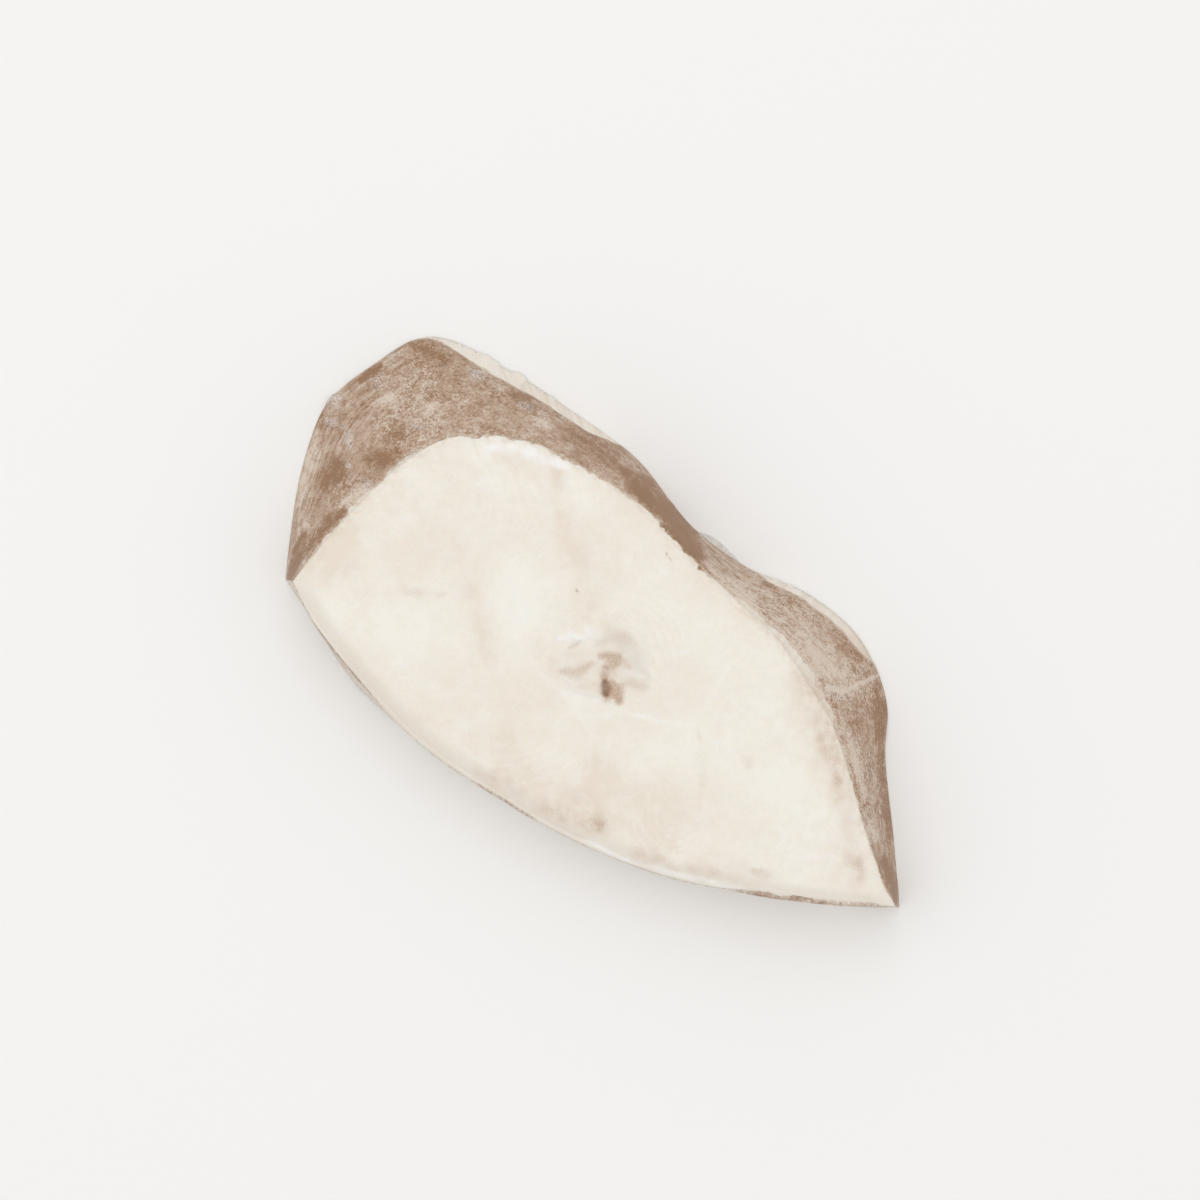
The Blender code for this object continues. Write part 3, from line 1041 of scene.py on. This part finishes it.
@dataclass(frozen=True)
class Flesh:
    """The muscle of the slice: both cut faces and the side between them, round the backbone."""

    form: SliceForm
    face: CutFace
    finish: RawWhiteFish
    dark_columns: int = 330
    blind_columns: int = 230
    cut_rings: int = 120
    edge_rings: int = 8
    wall_rings: int = 18
    base_rings: int = 16
    seam_rings: int = 8
    seam_half: float = 0.6
    slant: float = 0.8         # share of a column's way to the edge that is the straight distance to it

    def lattice(self) -> Lattice:
        """Return the closed mesh, from the bone over the upper cut, down the side and back below."""
        form = self.form
        columns = form.all_round(self.dark_columns, self.blind_columns)
        inward = form.inward(columns.cut, closed=True)
        away = columns.cut - np.array(form.bone_top)
        angle = np.arctan2(away[:, 1], away[:, 0])
        hole_top, hole_foot = (form.bone_outline(angle, depth, self.seam_half) for depth in (0.0, 1.0))
        edge_start = columns.cut + inward * columns.rounding[:, None]
        foot_start = columns.foot + inward * np.minimum(form.foot_round, columns.rounding)[:, None]
        inland, at_edge = np.full(len(angle), FAR), np.zeros(len(angle))
        # a ring: its points, the place whose marks it shows, its distance from the edge, its share of relief
        rings: list[tuple] = []
        for i in range(self.seam_rings):
            out = self.seam_half * (2 * i / self.seam_rings - 1)
            plan = form.bone_outline(angle, 0.0, out)
            rings.append((at_height(plan, form.edge_z - seam_dip(-out)), plan, inland, 1.0))
        for share in np.arange(self.cut_rings) / self.cut_rings:
            plan = hole_top * (1 - share) + edge_start * share
            from_edge = np.linalg.norm(edge_start - plan, axis=1) * self.slant + columns.rounding
            rings.append((at_height(plan, form.edge_z + form.crown * sin(pi * share)), plan, from_edge, 1.0))
        for level in np.arange(-self.edge_rings, 1) / self.edge_rings:
            row = form.side_row(columns, inward, level)
            rings.append((row, row[:, :2], np.linalg.norm(columns.cut - row[:, :2], axis=1), -level))
        for level in np.arange(1, self.wall_rings + 1) / self.wall_rings:
            rings.append((form.side_row(columns, inward, level), columns.cut, at_edge, 0.0))
        for share in np.arange(self.base_rings + 1) / self.base_rings:
            plan = foot_start * (1 - share) + hole_foot * share
            above = edge_start * (1 - share) + hole_top * share
            from_edge = np.linalg.norm(foot_start - plan, axis=1) * self.slant
            rings.append((at_height(plan, 0.0), above, from_edge, 0.0))
        for out in (0.0, -self.seam_half / 2, -self.seam_half):
            row = at_height(form.bone_outline(angle, 1.0, out), seam_dip(-out))
            rings.append((row, form.bone_outline(angle, 0.0, out), inland, 0.0))
        points, plans, edges, reliefs = (np.array(values) for values in zip(*rings))
        fields, relief = self.face.fields(plans, edges)
        points[..., 2] += relief * reliefs[:, None]
        half_edge = self.edge_rings // 2
        side = self.seam_rings + self.cut_rings + half_edge
        fields["clear"][side:side + self.wall_rings + half_edge] = 0.0
        # the dark specks and the painted pit shade stay on the upper cut
        fields["speck_and_pit_shade"] *= reliefs[:, None]
        return Lattice(points, closed_rows=True, mirrored=True, fields=fields)

    def build(self) -> bpy.types.Object:
        """Make the flesh, which stands for the solid of the slice."""
        piece = self.lattice().build("flesh", self.finish.material())
        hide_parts("fish_steak")
        return piece


@dataclass(frozen=True)
class Backbone:
    """The vertebra that the knife went through, with its canal and the starts of its processes."""

    form: SliceForm
    face: CutFace
    finish: RawWhiteFish
    sides: int = 220
    face_rings: int = 70
    wall_rings: int = 6
    seam_rings: int = 3
    seam_half: float = 0.45
    pith: float = 0.01

    def face_of(self, angle: np.ndarray, depth: float) -> tuple[list[np.ndarray], list[float]]:
        """Lay out one end of the bone.

        Args:
            angle: The direction of each column.
            depth: 0 at the upper cut, 1 on the table.

        Returns:
            The rings in plan from the middle outward, and how far each has sunk under the flesh.
        """
        middle = np.array(self.form.bone_foot if depth else self.form.bone_top)
        outline = self.form.bone_outline(angle, depth)
        shares = self.pith + (1 - self.pith) * np.arange(self.face_rings + 1) / self.face_rings
        rings = [middle * (1 - share) + outline * share for share in shares]
        sunk = [0.0] * len(rings)
        for i in range(1, self.seam_rings + 1):
            out = self.seam_half * i / self.seam_rings
            rings.append(self.form.bone_outline(angle, depth, out))
            sunk.append(seam_dip(out))
        return rings, sunk

    def build(self) -> bpy.types.Object:
        """Make the backbone, which stands for its solid."""
        form = self.form
        angle = np.linspace(0, 2 * pi, self.sides, endpoint=False)[::-1]
        upper, sunk = self.face_of(angle, 0.0)
        lower, _ = self.face_of(angle, 1.0)
        rows = [at_height(ring, form.edge_z - dip) for ring, dip in zip(upper, sunk)]
        plans = list(upper)
        for i in range(1, self.wall_rings):
            part = i / self.wall_rings
            plan = upper[-1] * (1 - part) + lower[-1] * part
            rows.append(at_height(plan, (form.edge_z - sunk[-1]) * (1 - part)))
            plans.append(upper[-1])
        for ring, above, dip in reversed(list(zip(lower, upper, sunk))):
            rows.append(at_height(ring, dip))
            plans.append(above)
        lattice = Lattice(np.array(rows), mirrored=True)
        plan = np.array(plans)
        fields, relief = self.face.fields(plan, np.full(plan.shape[:-1], FAR))
        lattice.points[:len(upper), :, 2] += relief[:len(upper)]
        lattice.fields = fields
        piece = lattice.build("vertebra", self.finish.material())
        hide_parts("backbone")
        return piece


@dataclass(frozen=True)
class SkinShell:
    """One side's skin: a thin closed shell on the slice's side, with a torn upper edge.

    starts gives, at places along x, how far below the end of the upper edge's rounding the skin
    begins; below zero it begins on the rounding. ragged is the depth of the torn edge's teeth, depth
    how far below it the strokes reach, and streaky how much of the skin's drawn-out streaks show.
    least is how far even the thinnest skin stands off the flesh, and sunk how far its inner surface
    lies inside it. Within lip of the torn edge and of the foot, and within taper of each corner, the
    skin thins out.
    """

    name: str
    dark: bool
    form: SliceForm
    finish: FishSkin
    strokes: tuple[Stroke, ...] = ()
    starts: tuple[Point, ...] = ((0.0, -0.9),)
    ragged: float = 1.8
    thick: float = 0.3
    least: float = 0.16
    sunk: float = 0.3
    lip: float = 1.5
    taper: float = 6.0
    ground: float = 0.5
    depth: float = 1000.0          # longer than any side, so that nothing is left out
    streaky: float = 1.0
    columns: int = 700
    rows: int = 56
    seed: int = 31
    tooth_mm: float = 1.5          # sizes of the lumps in the random fields
    notch_mm: float = 5.5
    fray_mm: float = 3.6
    wander_mm: float = 4.0
    quiver_mm: float = 1.1
    swell_mm: float = 12.0
    grit_mm: float = 1.6
    shade_mm: float = 10.0
    patch_mm: float = 13.0
    bend_mm: float = 11.0

    def foot_level(self, columns: Columns) -> np.ndarray:
        """Find where the skin ends above the foot.

        Args:
            columns: The columns that it crosses.

        Returns:
            How far down the side it reaches at each column, from 0 to 1.
        """
        if not self.dark:
            return np.full(len(columns.run), 1.0)
        x = columns.foot[:, 0]
        # it is torn away high up the left lobe, and less so on the right one
        bare = 2.15 * ramp(-94, -74, x) * ramp(-24, -40, x) + 1.1 * ramp(24, 34, x) * ramp(70, 60, x)
        return 1 - 0.13 * bare

    def rows_down(self, columns: Columns) -> np.ndarray:
        """Lay out the skin's rows, from its torn edge down to the foot.

        Args:
            columns: The columns that the rows cross.

        Returns:
            For each row and column the distance below the end of the upper edge's rounding, in
            millimetres; below zero it lies on the rounding.
        """
        edge = np.column_stack((columns.run, np.zeros(self.columns)))
        from_end = np.minimum(columns.run, columns.run[-1] - columns.run)
        teeth = 0.40 * Grain(self.seed).rough(edge, self.tooth_mm)
        teeth += 0.9 * Grain(self.seed + 9).rough(edge, self.notch_mm, 4)
        torn = self.ragged * teeth * ramp(0, self.taper, from_end)
        places, starts = zip(*self.starts)
        start = np.interp(columns.cut[:, 0], places, starts)
        level = self.foot_level(columns)
        frayed = 0.6 + 0.9 * Grain(self.seed + 2).rough(edge, self.fray_mm, 4)
        frayed *= np.clip((1 - level) / 0.08, 0, 1)
        foot = level * self.form.wall_length(columns) - np.maximum(frayed, 0.0)
        part = np.linspace(0, 1, self.rows)[:, None] ** 1.4
        return start * (1 - part) + foot * part + torn * (1 - part) ** 8

    def paint(self, plan: np.ndarray, below_tear: np.ndarray) -> tuple[dict[Trace, np.ndarray], np.ndarray]:
        """Paint the strokes on the skin.

        Args:
            plan: Each point's place in plan, in millimetres.
            below_tear: How far down the side it lies from the torn edge, in millimetres.

        Returns:
            How much of each kind of mark a point gets, and the marks' relief in millimetres.
        """
        grain = Grain(self.seed)
        places = plan + 0.9 * grain.shift(plan, self.wander_mm, 3, 5)
        places += 0.7 * grain.shift(plan, self.quiver_mm, 2, 5)
        fade = ramp(self.depth, self.depth * 0.1, below_tear)
        marks = {trace: np.zeros(fade.shape) for trace in Trace}
        relief = np.zeros(fade.shape)
        for stroke in self.strokes:
            cover = stroke.cover(places) * fade
            marks[stroke.trace] += cover
            relief += stroke.relief * cover / stroke.strength
        return marks, relief

    def looks(
        self, columns: Columns, plan: np.ndarray, down: np.ndarray, marks: dict[Trace, np.ndarray]
    ) -> dict[str, np.ndarray]:
        """Work out the fields that the skin's material reads.

        Args:
            columns: The columns that the rows cross.
            plan: Each point's place in plan, in millimetres.
            down: How far down the side it lies, in millimetres.
            marks: How much of each kind of mark it gets.

        Returns:
            The fields by name.
        """
        x = plan[..., 0]
        length = self.form.wall_length(columns)
        streaked = 0.10 + 0.45 * ramp(-86, -96, x) + 0.75 * ramp(2, 9, x) * ramp(46, 32, x)
        streaked += 0.4 * ramp(66, 84, x)
        speckled = 0.5 + 0.5 * ramp(-0.4, 0.5, Grain(self.seed + 13).rough(plan, self.patch_mm, 2))
        speckled *= 1 - 0.45 * ramp(-84, -95, x)
        stops_short = down[-1] / length < 0.97
        frayed = 0.60 * ramp(2.2, 0.0, down[-1] - down) * stops_short
        torn = 0.28 * ramp(1.0, 0.0, down - down[0]) + frayed
        shade = 0.20 * Grain(self.seed + 17).rough(plan, self.shade_mm)
        run = np.broadcast_to(columns.run, down.shape)
        across = down - length + 0.8 * Grain(self.seed).rough(plan, self.bend_mm, 2)
        return {
            "tone": self.ground + marks[Trace.PALE] - marks[Trace.DARK] + shade + torn,
            # slime marks, which also carry painted wet glints
            "slime_and_glint": marks[Trace.SLIME_AND_GLINT],
            # streaks run ten times as far along the slice as across it
            "grain": np.stack((run * 0.10, across, np.zeros(down.shape)), axis=-1) * MM,
            "streaked": streaked * self.streaky,
            "speckled": speckled,
        }

    def build(self) -> bpy.types.Object:
        """Make the skin."""
        form = self.form
        grain = Grain(self.seed)
        columns = form.side(self.dark, self.columns)
        # the dark side runs clockwise round the slice from the left corner, the blind side the other way
        way = 1 if self.dark else -1
        inward = form.inward(columns.cut[::way], closed=False)[::way]
        down = self.rows_down(columns)
        on_edge = np.maximum(down / (columns.rounding * pi / 2), -0.95)
        levels = np.where(down < 0, on_edge, down / form.wall_length(columns))
        points = np.array([form.side_row(columns, inward, level) for level in levels])
        outward = Lattice(points, closed_columns=False).normals() * -way
        plan = points[..., :2]
        below_tear = down - down[0]
        marks, relief = self.paint(plan, below_tear)
        relief += 0.35 * grain.rough(points, self.swell_mm) + 0.08 * grain.rough(points, self.grit_mm, 2)
        at_end = ramp(0, self.taper, columns.run) * ramp(0, self.taper, columns.run[-1] - columns.run)
        swell = np.maximum(relief + self.thick * ramp(0, self.lip, down[-1] - down), 0.0)
        rise = self.least + swell * ramp(0, self.lip, below_tear) * at_end
        outer = points + outward * rise[..., None]
        inner = points - outward * self.sunk
        shell = np.concatenate((outer, inner[::-1]))[:, ::way]
        shell[..., 2] = np.maximum(shell[..., 2], 0.0)
        fields = {
            label: np.concatenate((values, values[::-1]))[:, ::way]
            for label, values in self.looks(columns, plan, down, marks).items()
        }
        lattice = Lattice(shell, closed_rows=True, closed_columns=False, mirrored=True, fields=fields)
        piece = lattice.build(self.name, self.finish.material())
        return piece


@dataclass(frozen=True)
class Fringe:
    """A soft strip left along the foot of the dark skin: torn flesh, or film that has slid down.

    line holds knots along the slice: x and y where it lies on the side, how far it reaches outward
    and how high it starts, all in millimetres.
    """

    name: str
    finish: bpy.types.Material
    line: tuple[Rib, ...]
    thick: float = 1.2
    torn: float = 0.9
    columns: int = 320
    rings: int = 22
    seed: int = 81
    taper: float = 3.0         # length over which each end thins out
    lowest: float = 0.02       # just clear of the card
    smoothing: int = 31        # columns that are averaged along the line

    def build(self) -> bpy.types.Object:
        """Make the strip as a closed ribbon, thinning to nothing at both ends."""
        grain = Grain(self.seed)
        knots = np.array(self.line)
        lengths = run_along(knots[:, :2])
        run = np.linspace(0, lengths[-1], self.columns)
        x, y, reach, height = (np.interp(run, lengths, values) for values in knots.T)
        window = np.hanning(self.smoothing) / np.hanning(self.smoothing).sum()
        half = self.smoothing // 2
        middle = np.column_stack([
            np.convolve(np.pad(values, half, mode="edge"), window, "valid") for values in (x, y)
        ])
        along = np.gradient(middle, axis=0)
        outward = np.stack((-along[:, 1], along[:, 0]), axis=1)
        outward /= np.linalg.norm(outward, axis=1)[:, None]
        edge = np.column_stack((run, np.zeros(self.columns)))
        end = ramp(0, self.taper, run) * ramp(0, self.taper, run[-1] - run)
        frayed = grain.rough(edge, 2.4) + 0.6 * grain.rough(edge + 40, 8.0, 2)
        reach = np.maximum((reach + self.torn * frayed) * end, 0.05)
        height *= 0.3 + 0.7 * end
        thick = self.thick * (0.12 + 0.88 * end) * (0.8 + 0.3 * grain.rough(edge + 90, 3.0, 2))
        rows = []
        for turn in 2 * pi * np.arange(self.rings) / self.rings:
            out = 0.5 * (1 - cos(turn))
            z = height * (1 - out) + thick * 0.5 * (1 + sin(turn) * (1 - 0.5 * out))
            plan = middle + outward * (reach * out)[:, None]
            rows.append(np.column_stack((plan, np.maximum(z, self.lowest))))
        points = np.array(rows)[::-1]
        fold = 0.15 * grain.rough(points, 2.0, 2) * end
        points[..., 2] = np.maximum(points[..., 2] + fold, self.lowest)
        plan = points[..., :2]
        lattice = Lattice(points, closed_rows=True, closed_columns=False, fields={
            "tone": 0.35 + 0.40 * grain.rough(plan, 4.0),
            "clear": np.clip(0.10 + 0.30 * grain.rough(plan, 3.0, 2), 0, 1),
        })
        piece = lattice.build(self.name, self.finish)
        return piece


# ---------------------------------------------------------------- studio

@dataclass(frozen=True)
class Studio:
    """The pale card under the steak, the soft lights and the camera almost straight above."""

    card: PaperCard
    roll: float = radians(28.2)         # the steak's long axis falls that much to the right in the picture
    elevation: float = radians(87.0)
    distance: float = 1.0
    frame_width: float = 0.33645        # width of the picture at the upper cut, in metres
    aim: tuple[float, float, float] = (-0.0096, 0.0075, 0.028)
    sensor: float = 36.0
    card_half: float = 3.0
    window_side: float = 1.8
    window_power: float = 7.0
    window_height: float = 1.6
    window_up: float = 0.34             # how far it hangs towards the picture's upper edge
    window_left: float = 0.20
    room_light: float = 0.80

    def axes(self) -> tuple[Vector, Vector]:
        """Return the picture's right and its up, as directions on the card."""
        return Vector((cos(self.roll), sin(self.roll), 0)), Vector((-sin(self.roll), cos(self.roll), 0))

    def floor(self) -> bpy.types.Object:
        """Lay the card."""
        mesh = bpy.data.meshes.new("card")
        half = self.card_half
        corners = [(-half, -half, 0), (half, -half, 0), (half, half, 0), (-half, half, 0)]
        mesh.from_pydata(corners, [], [(0, 1, 2, 3)])
        mesh.materials.append(self.card.material())
        card = bpy.data.objects.new("card", mesh)
        bpy.context.scene.collection.objects.link(card)
        return card

    def camera(self) -> bpy.types.Object:
        """Set up the camera."""
        right, up = self.axes()
        back = Vector((0, 0, sin(self.elevation))) - up * cos(self.elevation)
        data = bpy.data.cameras.new("camera")
        data.sensor_width = self.sensor
        data.lens = self.sensor * self.distance / self.frame_width
        data.clip_start = 0.01
        camera = bpy.data.objects.new("camera", data)
        rotation = Matrix((right, back.cross(right), back)).transposed().to_4x4()
        camera.matrix_world = Matrix.Translation(Vector(self.aim) + back * self.distance) @ rotation
        bpy.context.scene.collection.objects.link(camera)
        bpy.context.scene.camera = camera
        return camera

    def lights(self) -> None:
        """Hang a large soft light over the picture's upper edge and fill the room with white light."""
        scene = bpy.context.scene
        right, up = self.axes()
        data = bpy.data.lights.new("window", "AREA")
        data.shape = "SQUARE"
        data.size = self.window_side
        data.energy = self.window_power
        light = bpy.data.objects.new("window", data)
        light.location = up * self.window_up - right * self.window_left + Vector((0, 0, self.window_height))
        light.rotation_mode = "QUATERNION"
        light.rotation_quaternion = (-light.location).to_track_quat("-Z", "Y")
        scene.collection.objects.link(light)
        world = bpy.data.worlds.new("room")
        world.use_nodes = True
        set_inputs(world.node_tree, world.node_tree.nodes["Background"], {
            "Color": (1, 1, 1, 1), "Strength": self.room_light,
        })
        scene.world = world
        scene.view_settings.view_transform = "Standard"


DARK_SKIN_STROKES = (
    *strokes_of(Trace.DARK, (
        (((-82, 21.5),), 3.3, 0.58, 0, 0.8),
        (((-85.2, 12), (-80.4, 16.6)), 3.4, 0.54, 0, 0.8),
        (((-94.6, 7.3), (-91.5, 3.4)), 3.6, 0.54, 0, 0.8),
        (((-94.4, 1.5),), 2.4, 0.52),
        (((-93.2, -16.5), (-91.8, -22), (-90.6, -27.5)), 2.6, 0.66, 0, 1, 0.2),
        (((-90.2, -27), (-88.9, -18), (-86.9, -10.2), (-85, -3.6)), 1.5, 0.56),
        (((-92.1, 47.6), (-81.6, 47.9)), 3, 0.42, 0, 0.8),
        (((-100, 32.5), (-98.2, 38)), 1.6, 0.65),
        (((-61.4, 47.6), (-52.4, 46.8)), 3, 0.42, 0, 0.8),
        (((-40.8, 45.8), (-30.2, 45), (-22, 43)), 4.2, 0.36),
        (((-20, 42.8), (-11.9, 39.6)), 3.6, 0.60),
        (((-13, 40), (-1.2, 35.6), (9.4, 31.6)), 4.2, 0.78, 0, 0.7, 0.6),
        (((-16, 45.2), (-3, 40.8), (5, 37.4)), 2.6, 0.34, 0, 0.8, 0.6),
        (((29.4, 34.2), (38.6, 34.6)), 2, 0.25),
        (((52.4, 32), (64, 28.3)), 2.2, 0.28),
        (((71, 24.3), (75.8, 17.4), (81.5, 6.1)), 2.1, 0.46, 0, 0.8),
        (((82.4, 5.1), (89.6, -4.9), (94.6, -12.2)), 2.1, 0.48, 0, 0.8),
        (((95, -19), (99, -22), (103.5, -27.2)), 3, 0.72, 0, 0.8),
    )),
    *strokes_of(Trace.PALE, (
        (((-89, 31.7),), 2.6, 0.40),
        (((-92.5, 26), (-88.5, 30.9)), 2.2, 0.35),
        (((-99.2, -8), (-102.2, 3.5), (-104, 13.4)), 2, 0.50),
        (((-93.2, -12.7),), 1.5, 0.45),
        (((-86.1, -2.7), (-83, 3.6)), 1.5, 0.60),
        (((-95.4, -14), (-93.9, -21), (-92.6, -27)), 0.7, 0.55),
        (((-8, 36.2), (-4.4, 34.6)), 0.8, 0.60),
        (((22, 30), (36, 29.5), (52, 25.5), (62, 18)), 7.5, 0.24),
        (((-47.6, 44.1),), 1.8, 0.40),
        (((-78.4, 30.3), (-77.3, 34.6)), 1.5, 0.45),
        (((43.8, 26), (57.8, 19.6)), 3.6, 0.26),
        (((32, 24), (46, 18.8), (58, 13.2)), 2.8, 0.34),
        (((66.8, 9.8), (74, 1.5), (81.1, -5.8)), 1.9, 0.50),
        (((11.3, 30.5), (31.1, 25.8)), 2.4, 0.35),
        (((83.8, -9.1), (91, -15.5)), 1.8, 0.35),
        (((70.1, 27.3), (65.3, 20.5), (62.9, 16.8), (58.2, 16.4)), 0.7, 0.75, 0.5, 1.3, 0.2),
    )),
    # slime, painted with pale wet glints on its specks
    *strokes_of(Trace.SLIME_AND_GLINT, (
        (((-71.2, 48.4),), 2.2, 1),
        (((-105.7, 21.8), (-103.4, 24.5)), 2, 1, 1.4),
        (((-103.2, 17.6), (-100.1, 16.6)), 1.6, 0.8),
        (((-96.2, 33.5),), 2, 0.7),
        (((-96, 43.4),), 1.8, 0.7),
        (((-97, 18), (-93.1, 12.5)), 1.1, 0.8),
        (((-91.8, 8.5), (-89.9, 7)), 0.9, 1),
        (((-82.7, 5.4),), 1.3, 0.9),
        (((-79.6, 26), (-76.9, 26.6)), 0.7, 0.9),
        (((-56.7, 46), (-53, 46.8)), 1.2, 0.7),
        (((-44.5, 48.5),), 1, 0.9),
        (((58.1, 15.3), (66, 15.6)), 1.3, 0.6),
        (((105.9, -28.6),), 0.9, 1),
    )),
)

# x and how far below the end of the upper edge's rounding the skin begins there
DARK_SKIN_STARTS = (
    (-88, 0.1), (-86, 1.6), (-83, 1.4), (-78, 0.9), (-73, -0.4), (-60, -1.7), (-44, -0.6),
    (-37, -2.2), (-28, -1.4), (-10, -0.8), (12, -0.6), (20, 1), (29, 1.9), (48, 2),
    (53, 3.2), (58, 2.2), (65, 0.6), (72, 0.2), (77, 1.7), (84, 0), (92, -1.2), (99, -1),
    (102.5, 0.1),
)

BLIND_SKIN_STROKES = strokes_of(Trace.DARK, (
    (((-78, -36), (-64, -42.2), (-54, -46.2)), 2.4, 0.52, 0, 1, 0.9),
    (((-17, -53.8), (4, -54.9)), 2.2, 0.48, 0, 1, 0.9),
    (((60, -45.8), (71, -41.4), (82, -37.6)), 2.6, 0.60, 0, 1, 0.9),
    (((78, -39.2), (103, -29.2)), 2.2, 0.48, 0, 1, 0.8),
))

# the same along the blind side
BLIND_SKIN_STARTS = (
    (-88, 3.4), (-81, 2.2), (-75, -0.4), (-58, -0.4), (-49, 1.6), (-36, 2.6), (-24, 1.8),
    (-14.5, -1.3), (1, -1.3), (10, 1.4), (28, 2.8), (48, 2), (63, -1.7), (78, -1.6),
    (90, -1.1), (98, -1.2), (102, 0.1),
)

# x, y, reach outward and height at its start, along the foot of the dark side
LEFT_FRINGE = (
    (-86.5, 52.6, 0.6, 2.2), (-82.5, 52.2, 2.4, 3.8), (-77, 51.6, 3.8, 5.6), (-70.5, 51.5, 4.2, 6.4),
    (-60.6, 51, 4.2, 6.6), (-50, 50.2, 3.6, 6.6), (-38.8, 49.2, 2.6, 5), (-29, 48.4, 1.4, 3.2),
    (-23, 47.4, 0.6, 2.2),
)
RIGHT_FRINGE = (
    (22, 34.6, 1.8, 3.2), (31, 35, 3.1, 4.6), (39.1, 35.4, 3.4, 4.8), (47, 34.8, 3.3, 4.8),
    (54, 33.2, 3.2, 4.8), (59.6, 31.2, 2, 4.2), (64.5, 28.5, 0.8, 3),
)
WAIST_FILM = (
    (3, 38.4, 0.8, 2), (8, 37.8, 2.4, 2), (12, 37.1, 2.8, 1.8), (17.4, 36.2, 2.2, 1.8),
    (22, 35.6, 1, 1.8),
)
CORNER_FILM = (
    (63, 31.2, 0.6, 1.8), (67.5, 28.2, 1.8, 1.8), (71, 25.2, 1.7, 1.4), (73.6, 22.2, 0.6, 1.2),
)
FOOT_THREAD = (
    (72.6, 23.4, 0.8, 1.2), (76.2, 18.9, 1.6, 1.6), (79, 13.8, 1.3, 1.4), (82.2, 7.4, 0.8, 1),
)


def main() -> None:
    """Build the steak and its studio."""
    logging.basicConfig(level=logging.INFO, format="%(name)s: %(message)s")
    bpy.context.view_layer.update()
    form = SliceForm()
    face = CutFace(form)
    flesh = RawWhiteFish()
    bone = RawWhiteFish(name="fresh_cut_bone")
    film = WetFilm().material()
    # torn flesh is thin, and with the muscle's long scatter its edge would look a little cooler
    torn_flesh = RawWhiteFish(name="torn_flesh", scatter_mm=0.3).material()
    dark_skin = FishSkin("brown_halibut_skin", dark="#967458", middle="#BAA08B", light="#D8C8B8")
    blind_skin = FishSkin("blind_side_skin", dark="#A48B77", middle="#CDBDAE", light="#E6DED4")
    pieces = [
        Flesh(form, face, flesh).build(),
        Backbone(form, face, bone).build(),
        SkinShell("dark_skin", True, form, dark_skin, DARK_SKIN_STROKES, DARK_SKIN_STARTS).build(),
        SkinShell("blind_skin", False, form, blind_skin, BLIND_SKIN_STROKES, BLIND_SKIN_STARTS, 0.8,
                  ground=0.75, depth=5.0, streaky=0.25, rows=40, seed=57).build(),
        Fringe("left_fringe", torn_flesh, LEFT_FRINGE).build(),
        Fringe("right_fringe", torn_flesh, RIGHT_FRINGE, thick=0.9, torn=0.3, seed=83).build(),
        Fringe("waist_film", film, WAIST_FILM, thick=0.3, torn=0.3, seed=85).build(),
        Fringe("corner_film", film, CORNER_FILM, thick=0.5, torn=0.4, seed=87).build(),
        Fringe("foot_thread", torn_flesh, FOOT_THREAD, thick=0.6, torn=0.4, seed=89).build(),
    ]
    for piece in pieces:
        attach(piece, BODY)
        LOG.info("%s: %d faces", piece.name, len(piece.data.polygons))
    studio = Studio(PaperCard())
    studio.floor()
    studio.lights()
    studio.camera()


if __name__ == "__main__":
    main()
